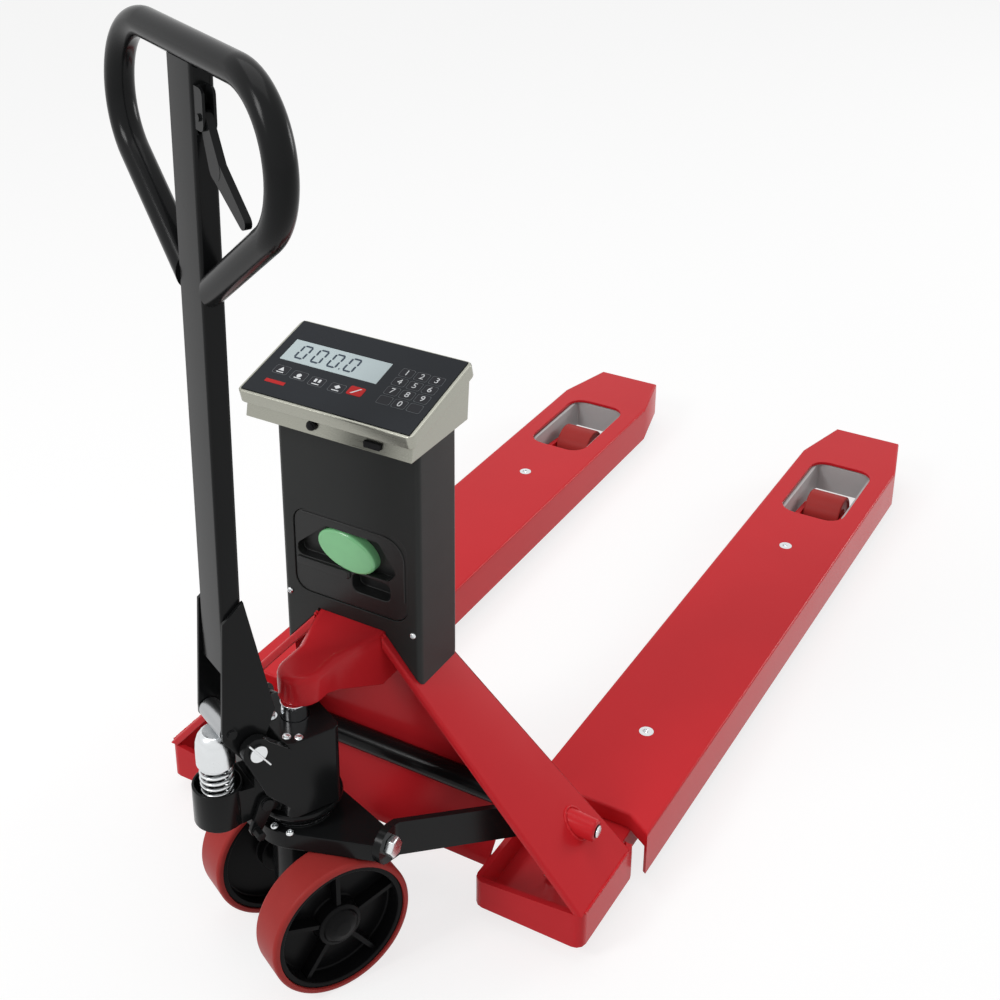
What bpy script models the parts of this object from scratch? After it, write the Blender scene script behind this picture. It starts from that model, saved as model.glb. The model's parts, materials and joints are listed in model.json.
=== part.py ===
"""Hand pallet truck with a built-in scale: forks, lift linkage, pump, tow handle and indicator.

Metres, +Z up. The truck stands on the floor at Z = 0 with its forks along +Y, and X = 0 is its middle.
The pieces are modelled from the steering axis. At the end the whole truck is moved so that the origin
lies under the middle of its bounding box. It is shown lowered, with the handle turned as parked.
"""

import math

import bmesh
import bpy
from mathutils import Matrix
from mathutils import Vector

# Clearances
GAP = 0.0003
SWING_ROOM = 0.003

# Forks
FORK_SPREAD = 0.685
FORK_WIDTH = 0.178
FORK_TOP = 0.091
FORK_TIP_Y = 1.523
COVER_ROOT_Y = 0.320
COVER_DEPTH = 0.067
COVER_WALL = 0.005
COVER_EDGE_ROUND = 0.004
TIP_TAPER_WIDTH = 0.028
TIP_TAPER_LENGTH = 0.117
ROOT_CLIP_WIDTH = 0.0375
ROOT_CLIP_LENGTH = 0.024
END_PLATE_DEPTH = 0.024
WINDOW_WIDTH = 0.113
WINDOW_ROOT_REACH = 0.112
WINDOW_TIP_REACH = 0.092
WINDOW_CORNER = 0.030

# Beams and load cells under the covers
RAIL_SPACING = 0.100
RAIL_WALL = 0.0055
BEAM_LOW = 0.030
BEAM_TOP = 0.066
BEAM_PLATE = 0.006
WELL_WALL_DROP = 0.002
WELL_ROOT_REACH = 0.090
WELL_TIP_REACH = 0.092
CELL_WIDTH = 0.034
CELL_LENGTH = 0.120
CELL_END = 0.014
CELL_WAIST = 0.007
CELL_BOLT_ROOT_Y = 0.489
CELL_BOLT_TIP_Y = 1.064
BOLT_SHANK_RADIUS = 0.006
BOLT_HEAD_RADIUS = 0.0105
BOLT_HEAD_HEIGHT = 0.0042

# Load rollers and their levers
LIFT = 0.115
ROLLER_Y = 1.290
ROLLER_RADIUS = 0.038
ROLLER_WIDTH = 0.065
ROLLER_SIDE_GAP = 0.0015
ROLLER_AXLE_RADIUS = 0.0075
AXLE_OVERHANG = 0.003
LEVER_LENGTH = 0.160
LEVER_PIVOT_Z = 0.052
LEVER_PLATE = 0.008
LEVER_END_RADIUS = 0.012
LEVER_PIN_RADIUS = 0.006
LEVER_TUBE_RADIUS = 0.0095
LEVER_WEB = 0.014
PUSH_PIN_REACH = 0.025
PUSH_PIN_RADIUS = 0.005
PUSH_LUG_RADIUS = 0.0075

# Push rods
ROD_INSET = 0.012
ROD_WIDTH = 0.016
ROD_LOW = 0.036
ROD_DEPTH = 0.016
ROD_POST = 0.013
ROD_NOSE_DEPTH = 0.013

# Rocker shaft, arms and cranks
SHAFT_Y = 0.217
SHAFT_Z = 0.141
SHAFT_RADIUS = 0.0165
SHAFT_END_X = 0.3075
JOURNAL_RADIUS = 0.0085
ARM_HUB_X = 0.227
ARM_PLATE = 0.010
ARM_HUB_RADIUS = 0.024
ARM_EYE_RADIUS = 0.024
CRANK_PLATE = 0.009
CRANK_END_RADIUS = 0.012
CRANK_PIN_RADIUS = 0.006

# Bases and legs
BASE_INNER_X = 0.172
BASE_OUTER_X = 0.3295
BASE_FRONT_Y = 0.131
BASE_BACK_Y = 0.290
BASE_LOW = 0.026
BASE_OUTER_TOP = 0.079
BASE_INNER_TOP = 0.067
BASE_WALL = 0.008
BASE_FLOOR = 0.004
BASE_CORNER = 0.014
LEG_PLATE = 0.010
LEG_FOOT_FRONT_Y = 0.131
LEG_FOOT_BACK_Y = 0.272
LEG_TOP_FRONT_Y = 0.115
LEG_TOP_BACK_Y = 0.198
LEG_EDGE_ROUND = 0.003
BOSS_FOOT_RADIUS = 0.0165
BOSS_END_RADIUS = 0.0115
BOSS_END_X = 0.306

# Back panel between the legs
PANEL_HALF_WIDTH = 0.165
PANEL_SHEET = 0.005
PANEL_CLEARANCE = 0.008
PANEL_LAP = 0.010
PANEL_BEND_Y = 0.242
PANEL_BEND_Z = 0.120
PANEL_TOE_Y = 0.190
PANEL_TOE_Z = 0.058
PANEL_LOW_Z = 0.035

# Head that sits on the ram
HEAD_DEPTH = 0.075
HEAD_PROUD = 0.0039451
HEAD_HALF_WIDTH = 0.050
HEAD_BACK_Y = 0.200
NOSE_RADIUS = 0.029
NOSE_Y = 0.016
NOSE_DEPTH = 0.039
RAM_SHOW = 0.021
NECK_Y = 0.052
SHOULDER_Y = 0.118
HEAD_ROUND = 0.010
RAM_RADIUS = 0.0172
RAM_LOW = 0.200

# Column, battery and indicator
COLUMN_WIDTH = 0.204
COLUMN_FRONT_Y = 0.125
COLUMN_DEPTH = 0.088
COLUMN_TOP = 0.684
COLUMN_WALL = 0.003
COLUMN_CORNER = 0.007
BATTERY_WIDTH = 0.166
BATTERY_RISE = 0.021
BATTERY_HEIGHT = 0.120
BATTERY_DEPTH = 0.070
BATTERY_CORNER = 0.020
BATTERY_INSET = 0.0015
GRIP_X = 0.030
GRIP_RISE = 0.036
GRIP_WIDTH = 0.056
GRIP_HEIGHT = 0.026
GRIP_DEPTH = 0.018
BEZEL_WIDTH = 0.246
BEZEL_LENGTH = 0.1441
BEZEL_THICK = 0.018
BEZEL_TILT = math.radians(15.3)
BEZEL_OVERHANG = 0.047
BEZEL_RISE = 0.038
BEZEL_CORNER = 0.008
BODY_WIDTH = 0.234
BODY_SETBACK = 0.009
BODY_WALL = 0.0025
SHEET_WIDTH = 0.236
SHEET_MARGIN = 0.004
SHEET_THICK = 0.001
DISPLAY_LEFT = -0.105
DISPLAY_RIGHT = 0.034
DISPLAY_LOW = 0.067
DISPLAY_HIGH = 0.106

# Pump
STEER_ANGLE = math.radians(-26.5)
PUMP_HALF_WIDTH = 0.050
PUMP_FRONT_Y = -0.037
PUMP_BACK_Y = 0.036
PUMP_LOW = 0.240
PUMP_TOP = 0.350
PUMP_CORNER = 0.010
FLANGE_RADIUS = 0.049
FLANGE_FOOT_RADIUS = 0.044
SPIGOT_RADIUS = 0.029
BEARING_HEIGHT = 0.004
BEARING_RADIUS = 0.043
PLUNGER_Y = -0.106
CUP_RADIUS = 0.031
CUP_BORE = 0.0275
CUP_LOW = 0.239
CUP_FLOOR = 0.006
CUP_TOP = 0.296
WEB_HALF_WIDTH = 0.026
WEB_TOP = 0.330
WEB_FRONT_Y = -0.070
EAR_INNER_X = 0.0375
EAR_RADIUS = 0.018

# Plunger and its spring
CAP_RADIUS = 0.0235
CAP_LOW = 0.326
CAP_SIDE = 0.020
BUTTON_RADIUS = 0.0135
STEM_RADIUS = 0.010
STEM_LENGTH = 0.015
SPRING_RADIUS = 0.019
WIRE_RADIUS = 0.002
SPRING_TURNS = 9
POINTS_PER_TURN = 10

# Lowering lever under the plunger
LOWERING_PIVOT_Y = -0.058
LOWERING_PIVOT_Z = 0.262
LOWERING_PLATE = 0.006
LOWERING_REACH_Y = -0.082
LOWERING_LOW = 0.222
LOWERING_ROUND = 0.008
ADJUSTER_RADIUS = 0.006
ADJUSTER_LENGTH = 0.014

# Yoke under the pump
YOKE_LOW = 0.190
YOKE_TOP = 0.214
YOKE_RING_RADIUS = 0.056
YOKE_END_X = 0.1227
YOKE_END_HALF = 0.017
YOKE_PIN_Z = 0.208
YOKE_BOLT_RADIUS = 0.008
YOKE_BOLT_HEAD_RADIUS = 0.0135
YOKE_BOLT_HEAD = 0.010

# Steering wheels
WHEEL_RADIUS = 0.0947
WHEEL_WIDTH = 0.051
WHEEL_OUTER_X = 0.104
TREAD_THICK = 0.008
TREAD_ROUND = 0.005
RIM_THICK = 0.007
HUB_RADIUS = 0.030
HUB_WEB = 0.008
HUB_CAP_RADIUS = 0.022
HUB_CAP_HEIGHT = 0.008
SPOKES = 5
SPOKE_WIDTH = 0.006
SPOKE_DEPTH = 0.016
WHEEL_AXLE_RADIUS = 0.0125
CARRIER_TUBE_RADIUS = 0.021
CARRIER_BOSS_RADIUS = 0.036
CARRIER_HALF_LENGTH = 0.048
SPIGOT_LOW = 0.128

# Handle
HANDLE_Y = -0.074
HANDLE_Z = 0.358
HANDLE_LEAN = math.radians(-0.9)
TUBE_WIDTH = 0.058
TUBE_DEPTH = 0.026
TUBE_WALL = 0.003
TUBE_ROUND = 0.004
TUBE_OFFSET = -0.0148
TUBE_LOW = 0.072
TUBE_CUT = 0.035
TUBE_SADDLE = 0.008
PIVOT_PIN_RADIUS = 0.0075
PIVOT_HEAD_RADIUS = 0.011
PIVOT_HEAD = 0.004
BRACKET_PLATE = 0.005
BRACKET_TOP = 0.176
BRACKET_REAR_TOP = 0.198
BRACKET_LOBE = 0.020
BRACKET_WALL_LOW = 0.072
BRACKET_WALL_TOP = 0.150
CAM_Y = -0.024
CAM_Z = 0.025
CAM_RADIUS = 0.013
CAM_WIDTH = 0.056
CAM_PIN_RADIUS = 0.006
LOOP_RADIUS = 0.0165
LOOP_TOP = 0.824
LOOP_SHOULDER_X = 0.176
LOOP_CORNER_X = 0.200
LOOP_CORNER_Z = 0.703
LOOP_FOOT_Z = 0.577
LOOP_SHOULDER_ROUND = 0.085
LOOP_CORNER_ROUND = 0.082
LOOP_SIDES = 12

# Release lever on the handle
CONTROL_X = 0.040
CONTROL_FORWARD = 0.003
CONTROL_Z = 0.762
CONTROL_THICK = 0.0085
CONTROL_BAR = 0.010
CONTROL_PIN_RADIUS = 0.004
CONTROL_KNEE_X = 0.062
CONTROL_KNEE_DROP = 0.0465
CONTROL_KNEE_RADIUS = 0.0125
CONTROL_TIP_X = 0.118
CONTROL_TIP_DROP = 0.085
CONTROL_TIP_RADIUS = 0.007
CONTROL_TAIL_X = 0.006
CLEVIS_DROP = 0.014
CLEVIS_RISE = 0.030
CLEVIS_CHEEK = 0.003
CLEVIS_BACK = 0.004
CLEVIS_REACH = 0.009
RELEASE_ROD_X = 0.010
RELEASE_ROD_RADIUS = 0.004
RELEASE_ROD_LENGTH = 0.640

# Places that follow from the sizes above
FORK_X = (FORK_SPREAD - FORK_WIDTH) / 2
COVER_UNDER = FORK_TOP - COVER_WALL
RAIL_INNER = RAIL_SPACING / 2
LEVER_PIVOT_Y = ROLLER_Y - math.sqrt(LEVER_LENGTH ** 2 - (LEVER_PIVOT_Z - ROLLER_RADIUS) ** 2)
LEVER_REST = math.asin((LEVER_PIVOT_Z - ROLLER_RADIUS) / LEVER_LENGTH)
LEVER_FULL = math.asin((LEVER_PIVOT_Z - ROLLER_RADIUS + LIFT) / LEVER_LENGTH)
LEVER_SWING = LEVER_FULL - LEVER_REST
PUSH_PIN_Y = LEVER_PIVOT_Y - PUSH_PIN_REACH * math.sin(LEVER_SWING / 2)
PUSH_PIN_Z = LEVER_PIVOT_Z + PUSH_PIN_REACH * math.cos(LEVER_SWING / 2)
ROD_STROKE = 2 * PUSH_PIN_REACH * math.sin(LEVER_SWING / 2)
ARM_LENGTH = math.hypot(SHAFT_Y, YOKE_PIN_Z - SHAFT_Z)
ARM_REST = math.asin((YOKE_PIN_Z - SHAFT_Z) / ARM_LENGTH)
ARM_FULL = math.asin((YOKE_PIN_Z - SHAFT_Z - LIFT) / ARM_LENGTH)
ARM_SWING = ARM_REST - ARM_FULL
CRANK_REACH = ROD_STROKE / (2 * math.sin(ARM_SWING / 2))
CRANK_PIN_Y = SHAFT_Y - CRANK_REACH * math.sin(ARM_SWING / 2)
CRANK_PIN_Z = SHAFT_Z - CRANK_REACH * math.cos(ARM_SWING / 2)
ROD_X = FORK_X - ROD_INSET
LEG_FOOT_Z = BASE_OUTER_TOP + GAP
LEG_TOP_X = HEAD_HALF_WIDTH + GAP
NOSE_LOW = PUMP_TOP + RAM_SHOW
HEAD_TOP = NOSE_LOW + NOSE_DEPTH
HEAD_FOOT = HEAD_TOP - HEAD_DEPTH
LEG_RISE = (HEAD_TOP - HEAD_PROUD - BASE_OUTER_TOP) / (BASE_OUTER_X - LEG_TOP_X)
PANEL_TOP_Y = HEAD_BACK_Y + PANEL_CLEARANCE
PANEL_TOP_Z = HEAD_FOOT + PANEL_LAP
COLUMN_BACK_Y = COLUMN_FRONT_Y + COLUMN_DEPTH
BATTERY_LOW = HEAD_TOP + BATTERY_RISE
GRIP_Z = BATTERY_LOW + GRIP_RISE
BEZEL_FRONT_Y = COLUMN_FRONT_Y - BEZEL_OVERHANG
BEZEL_FRONT_Z = COLUMN_TOP + BEZEL_RISE
BODY_FRONT_Y = BEZEL_FRONT_Y + BODY_SETBACK
BODY_BACK_Y = COLUMN_BACK_Y
AXLE_Z = WHEEL_RADIUS
FLANGE_LOW = YOKE_TOP + BEARING_HEIGHT + 2 * GAP
EAR_OUTER_X = PUMP_HALF_WIDTH
TUBE_HALF = TUBE_WIDTH / 2
CONTROL_HALF = CONTROL_THICK / 2
CONTROL_Y = TUBE_OFFSET - CONTROL_FORWARD
CONTROL_KNEE_Z = CONTROL_Z - CONTROL_KNEE_DROP
CONTROL_TIP_Z = CONTROL_Z - CONTROL_TIP_DROP
CLEVIS_LOW = CONTROL_Z - CLEVIS_DROP
CLEVIS_TOP = CONTROL_Z + CLEVIS_RISE


# Making and joining meshes

def add_object(name, bm):
    """Link a finished bmesh to the scene as a named object."""
    bmesh.ops.recalc_face_normals(bm, faces=bm.faces[:])
    mesh = bpy.data.meshes.new(name)
    bm.to_mesh(mesh)
    bm.free()
    obj = bpy.data.objects.new(name, mesh)
    bpy.context.scene.collection.objects.link(obj)
    return obj


def along(axis, a, b, c):
    """Point with c along the axis and a, b along the two others in X, Y, Z order."""
    if axis == "X":
        return Vector((c, a, b))
    if axis == "Y":
        return Vector((a, c, b))
    return Vector((a, b, c))


def prism(name, outline, axis, low, high):
    """Extrude a closed outline along an axis from low to high."""
    bm = bmesh.new()
    first = [bm.verts.new(along(axis, a, b, low)) for a, b in outline]
    last = [bm.verts.new(along(axis, a, b, high)) for a, b in outline]
    bm.faces.new(first)
    bm.faces.new(last)
    for i in range(len(outline)):
        j = (i + 1) % len(outline)
        bm.faces.new((first[i], first[j], last[j], last[i]))
    return add_object(name, bm)


def box(name, low, high):
    """Rectangular block between two corners."""
    outline = [(low[0], low[1]), (high[0], low[1]), (high[0], high[1]), (low[0], high[1])]
    return prism(name, outline, "Z", low[2], high[2])


def turned(name, profile, axis, centre, steps=32):
    """Revolve a profile of (radius, height) points, run from axis to axis or as a closed ring."""
    bm = bmesh.new()
    rings = []
    for radius, height in profile:
        if radius == 0:
            rings.append([bm.verts.new(along(axis, centre[0], centre[1], height))])
            continue
        ring = []
        for i in range(steps):
            turn = 2 * math.pi * i / steps
            a = centre[0] + radius * math.cos(turn)
            b = centre[1] + radius * math.sin(turn)
            ring.append(bm.verts.new(along(axis, a, b, height)))
        rings.append(ring)
    pairs = list(zip(rings, rings[1:]))
    if profile[0][0] > 0:
        pairs.append((rings[-1], rings[0]))
    for one, two in pairs:
        for i in range(steps):
            j = (i + 1) % steps
            corners = [one[i % len(one)], one[j % len(one)], two[j % len(two)], two[i % len(two)]]
            bm.faces.new(list(dict.fromkeys(corners)))
    return add_object(name, bm)


def cylinder(name, radius, axis, centre, low, high, steps=24):
    """Round bar along an axis."""
    return turned(name, [(0, low), (radius, low), (radius, high), (0, high)], axis, centre, steps)


def swept(name, points, radius, resolution):
    """Round tube with closed ends along a line of points."""
    curve = bpy.data.curves.new(name, "CURVE")
    curve.dimensions = "3D"
    curve.bevel_depth = radius
    curve.bevel_resolution = resolution
    curve.use_fill_caps = True
    spline = curve.splines.new("POLY")
    spline.points.add(len(points) - 1)
    for spot, point in zip(spline.points, points):
        spot.co = (*point, 1)
    guide = bpy.data.objects.new(name + "_route", curve)
    bpy.context.scene.collection.objects.link(guide)
    graph = bpy.context.evaluated_depsgraph_get()
    bm = bmesh.new()
    bm.from_mesh(guide.evaluated_get(graph).to_mesh())
    bmesh.ops.remove_doubles(bm, verts=bm.verts[:], dist=1e-6)
    bpy.data.objects.remove(guide)
    bpy.data.curves.remove(curve)
    return add_object(name, bm)


def combine(obj, others, operation):
    """Join other objects to this one, cut them from it or keep what they share, and remove them."""
    for other in others:
        step = obj.modifiers.new(operation.lower(), "BOOLEAN")
        step.operation = operation
        step.solver = "EXACT"
        step.object = other
    graph = bpy.context.evaluated_depsgraph_get()
    old = obj.data
    result = bpy.data.meshes.new_from_object(obj.evaluated_get(graph))
    obj.modifiers.clear()
    obj.data = result
    bpy.data.meshes.remove(old)
    for other in others:
        bpy.data.objects.remove(other)
    return obj


def join(obj, *others):
    return combine(obj, others, "UNION")


def cut(obj, *others):
    return combine(obj, others, "DIFFERENCE")


def keep(obj, *others):
    return combine(obj, others, "INTERSECT")


def soften(obj, width, segments, chosen):
    """Round the edges that the test picks by their two end points."""
    bm = bmesh.new()
    bm.from_mesh(obj.data)
    edges = [e for e in bm.edges if chosen(e.verts[0].co, e.verts[1].co)]
    bmesh.ops.bevel(bm, geom=edges, offset=width, segments=segments, profile=0.5, affect="EDGES",
                    clamp_overlap=True)
    bmesh.ops.remove_doubles(bm, verts=bm.verts[:], dist=1e-6)
    bm.to_mesh(obj.data)
    bm.free()
    return obj


def upright(one, two):
    """True for an edge along Z."""
    return math.hypot(one.x - two.x, one.y - two.y) < 1e-5


def mirrored(obj, name):
    """Copy of a right-hand piece for the left side, X turned round."""
    bm = bmesh.new()
    bm.from_mesh(obj.data)
    bmesh.ops.scale(bm, verts=bm.verts[:], vec=(-1, 1, 1))
    return add_object(name, bm)


# Outlines

def arc(centre, radius, start, end, steps):
    """Points on a round stretch, with the angles in degrees."""
    points = []
    for i in range(steps + 1):
        turn = math.radians(start + (end - start) * i / steps)
        points.append((centre[0] + radius * math.cos(turn), centre[1] + radius * math.sin(turn)))
    return points


def fillet(before, corner, after, radius, steps):
    """Round stretch that replaces a corner between two straight runs."""
    corner = Vector(corner)
    back = (Vector(before) - corner).normalized()
    ahead = (Vector(after) - corner).normalized()
    half = back.angle(ahead) / 2
    reach = radius / math.tan(half)
    centre = corner + (back + ahead).normalized() * (radius / math.sin(half))
    first = corner + back * reach - centre
    last = corner + ahead * reach - centre
    sweep = first.angle_signed(last)
    return [tuple(centre + Matrix.Rotation(-sweep * i / steps, 2) @ first) for i in range(steps + 1)]


def rounded(corners, radius, steps=4):
    """Closed outline with every corner rounded alike."""
    points = []
    for i, corner in enumerate(corners):
        points += fillet(corners[i - 1], corner, corners[(i + 1) % len(corners)], radius, steps)
    return points


def rectangle(left, low, right, high):
    return [(left, low), (right, low), (right, high), (left, high)]


def band(line, thick):
    """Closed outline of a sheet: a bent line, and the same line moved square to itself."""
    line = [Vector(p) for p in line]
    moved = []
    for i, point in enumerate(line):
        sides = []
        if i > 0:
            sides.append((point - line[i - 1]).normalized())
        if i + 1 < len(line):
            sides.append((line[i + 1] - point).normalized())
        normals = [Vector((-d.y, d.x)) for d in sides]
        bisector = sum(normals, Vector((0, 0))).normalized()
        moved.append(point + bisector * (thick / bisector.dot(normals[0])))
    return [tuple(p) for p in line] + [tuple(p) for p in reversed(moved)]


def lobe(one, two, radius_one, radius_two, steps=7):
    """Closed outline round two circles and the straight lines that touch both."""
    one = Vector(one)
    two = Vector(two)
    run = two - one
    heading = math.atan2(run.y, run.x)
    spread = math.acos((radius_one - radius_two) / run.length)
    start = math.degrees(heading + spread)
    turn = math.degrees(2 * math.pi - 2 * spread)
    return arc(one, radius_one, start, start + turn, steps) + \
        arc(two, radius_two, start + turn, start + 360, steps)


# Joints and materials

JOINT_SPOTS = {}
MATERIALS = {}


def joint(name, parent, spot, turn=(0, 0, 0)):
    """Empty on a joint's axis; the spot is given in the frame that the parent's pieces use."""
    empty = bpy.data.objects.new(name, None)
    bpy.context.scene.collection.objects.link(empty)
    empty.empty_display_size = 0.05
    empty.rotation_euler = turn
    empty.location = Vector(spot)
    JOINT_SPOTS[name] = Vector(spot)
    if parent:
        empty.parent = parent
        empty.location -= JOINT_SPOTS[parent.name]
    return empty


def frame_at_origin(name, parent, turn):
    """Empty that starts a new frame at its parent's axis, turned, with its own zero."""
    empty = joint(name, parent, JOINT_SPOTS[parent.name], turn)
    JOINT_SPOTS[name] = Vector((0, 0, 0))
    return empty


def material(name, colour, roughness, metallic):
    made = bpy.data.materials.new(name)
    made.use_nodes = True
    shader = made.node_tree.nodes["Principled BSDF"]
    shader.inputs["Base Color"].default_value = (*colour, 1)
    shader.inputs["Roughness"].default_value = roughness
    shader.inputs["Metallic"].default_value = metallic
    MATERIALS[name] = made


def mount(obj, finish, parent):
    """Give a piece its finish and hang it on its joint, with its origin on the joint's axis."""
    obj.data.transform(Matrix.Translation(-JOINT_SPOTS[parent.name]))
    obj.data.materials.clear()
    obj.data.materials.append(MATERIALS[finish])
    obj.data.shade_smooth()
    obj.data.set_sharp_from_angle(angle=math.radians(32))
    obj.parent = parent
    return obj


def make_materials():
    material("red_paint", (0.50, 0.02, 0.03), 0.35, 0.0)
    material("black_paint", (0.015, 0.015, 0.017), 0.35, 0.0)
    material("beam_grey", (0.55, 0.56, 0.57), 0.5, 0.3)
    material("zinc", (0.75, 0.76, 0.78), 0.3, 1.0)
    material("chrome", (0.85, 0.86, 0.88), 0.08, 1.0)
    material("stainless", (0.68, 0.69, 0.70), 0.28, 1.0)
    material("steel", (0.45, 0.46, 0.47), 0.35, 1.0)
    material("keypad", (0.02, 0.02, 0.025), 0.3, 0.0)
    material("display_glass", (0.62, 0.74, 0.80), 0.15, 0.0)
    material("battery_plastic", (0.02, 0.02, 0.022), 0.5, 0.0)
    material("tread", (0.55, 0.03, 0.03), 0.45, 0.0)
    material("hub_plastic", (0.015, 0.015, 0.016), 0.4, 0.0)


# Forks

def fork_outline(inset):
    """Plan of a right-hand fork cover, drawn in from its edge by an inset."""
    half = FORK_WIDTH / 2 - inset
    root = COVER_ROOT_Y + inset
    tip = FORK_TIP_Y - inset
    narrow = half - TIP_TAPER_WIDTH
    return [
        (FORK_X - half, root),
        (FORK_X + half - ROOT_CLIP_WIDTH, root),
        (FORK_X + half, root - ROOT_CLIP_LENGTH),
        (FORK_X + half, tip - TIP_TAPER_LENGTH),
        (FORK_X + narrow, tip),
        (FORK_X - narrow, tip),
        (FORK_X - half, tip - TIP_TAPER_LENGTH),
    ]


def bolt_profile(margin, low, top):
    """Half section of a countersunk bolt whose head lies flush with the cover, grown by a margin."""
    head = FORK_TOP - GAP
    shank = BOLT_SHANK_RADIUS + margin
    rim = BOLT_HEAD_RADIUS + margin
    return [(0, low), (shank, low), (shank, head - BOLT_HEAD_HEIGHT), (rim, head), (rim, top), (0, top)]


def bolt_hole(y):
    return turned("hole", bolt_profile(GAP, BEAM_TOP, FORK_TOP + COVER_WALL), "Z", (FORK_X, y), 20)


def fork_cover():
    low = FORK_TOP - COVER_DEPTH
    cover = prism("fork_cover_right", fork_outline(0), "Z", low, FORK_TOP)
    soften(cover, COVER_EDGE_ROUND, 2, lambda a, b: min(a.z, b.z) > FORK_TOP - 1e-5)
    inside = prism("inside", fork_outline(COVER_WALL), "Z", low - COVER_WALL, COVER_UNDER)
    inner_half = FORK_WIDTH / 2 - COVER_WALL
    mouth_low = (FORK_X - inner_half, COVER_ROOT_Y - 2 * ROOT_CLIP_LENGTH, low - COVER_WALL)
    mouth_high = (FORK_X + inner_half, COVER_ROOT_Y + 2 * COVER_WALL, FORK_TOP - END_PLATE_DEPTH)
    mouth = box("mouth", mouth_low, mouth_high)
    half = WINDOW_WIDTH / 2
    corners = rectangle(FORK_X - half, ROLLER_Y - WINDOW_ROOT_REACH, FORK_X + half,
                        ROLLER_Y + WINDOW_TIP_REACH)
    window = prism("window", rounded(corners, WINDOW_CORNER, 5), "Z", BEAM_TOP, FORK_TOP + COVER_WALL)
    return cut(cover, inside, mouth, window, bolt_hole(CELL_BOLT_ROOT_Y), bolt_hole(CELL_BOLT_TIP_Y))


def fork_beam():
    root = BASE_BACK_Y + GAP
    tip = ROLLER_Y + WELL_TIP_REACH + RAIL_WALL
    well = ROLLER_Y - WELL_ROOT_REACH
    wall_top = COVER_UNDER - WELL_WALL_DROP
    side = [(root, BEAM_LOW), (tip, BEAM_LOW), (tip, wall_top), (well, wall_top),
            (well - (wall_top - BEAM_TOP), BEAM_TOP), (root, BEAM_TOP)]
    half = RAIL_INNER + RAIL_WALL
    beam = prism("fork_beam_right", side, "X", FORK_X - half, FORK_X + half)
    plate_end = CELL_BOLT_TIP_Y + CELL_END + SWING_ROOM
    under = box("under", (FORK_X - RAIL_INNER, root - RAIL_WALL, BEAM_LOW - RAIL_WALL),
                (FORK_X + RAIL_INNER, plate_end, BEAM_TOP - BEAM_PLATE))
    well_space = box("well", (FORK_X - RAIL_INNER, plate_end - RAIL_WALL, BEAM_LOW - 2 * RAIL_WALL),
                     (FORK_X + RAIL_INNER, tip - RAIL_WALL, FORK_TOP))
    above = box("above", (FORK_X - RAIL_INNER, plate_end, BEAM_LOW - 3 * RAIL_WALL),
                (FORK_X + RAIL_INNER, plate_end + RAIL_WALL, FORK_TOP + RAIL_WALL))
    cut(well_space, box("keep_plate", (FORK_X - FORK_WIDTH, root, BEAM_LOW - FORK_TOP),
                        (FORK_X + FORK_WIDTH, plate_end, 2 * FORK_TOP)))
    join(well_space, above)
    return cut(beam, under, well_space)


def load_cell(name, bolt_y, heading):
    """Bar between beam and cover, with a milled waist and the bolt that holds the cover."""
    low = BEAM_TOP + GAP
    high = COVER_UNDER - GAP
    near = bolt_y - heading * CELL_END
    far = near + heading * CELL_LENGTH
    half = CELL_WIDTH / 2
    cell = box(name, (FORK_X - half, min(near, far), low), (FORK_X + half, max(near, far), high))
    middle = (near + far) / 2
    waist = cylinder("waist", CELL_WAIST, "X", (middle, (low + high) / 2), FORK_X - CELL_WIDTH,
                     FORK_X + CELL_WIDTH, 16)
    profile = bolt_profile(0, (low + high) / 2, FORK_TOP - GAP)
    bolt = turned("bolt", profile[:4] + profile[5:], "Z", (FORK_X, bolt_y), 20)
    cut(cell, waist)
    return join(cell, bolt)


# Load rollers, levers and push rods

def lever_pin():
    reach = RAIL_INNER - GAP
    return cylinder("lever_pin_right", LEVER_PIN_RADIUS, "X", (LEVER_PIVOT_Y, LEVER_PIVOT_Z),
                    FORK_X - reach, FORK_X + reach, 16)


def lever_plate(name, inner, outer):
    """Cheek from the pivot to the roller, with a lug up to the push pin."""
    pivot = (LEVER_PIVOT_Y, LEVER_PIVOT_Z)
    cheek = prism(name, lobe(pivot, (ROLLER_Y, ROLLER_RADIUS), LEVER_END_RADIUS, LEVER_END_RADIUS), "X",
                  inner, outer)
    lug = prism("lug", lobe(pivot, (PUSH_PIN_Y, PUSH_PIN_Z), LEVER_END_RADIUS - GAP, PUSH_LUG_RADIUS), "X",
                inner + GAP, outer - GAP)
    return join(cheek, lug)


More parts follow.
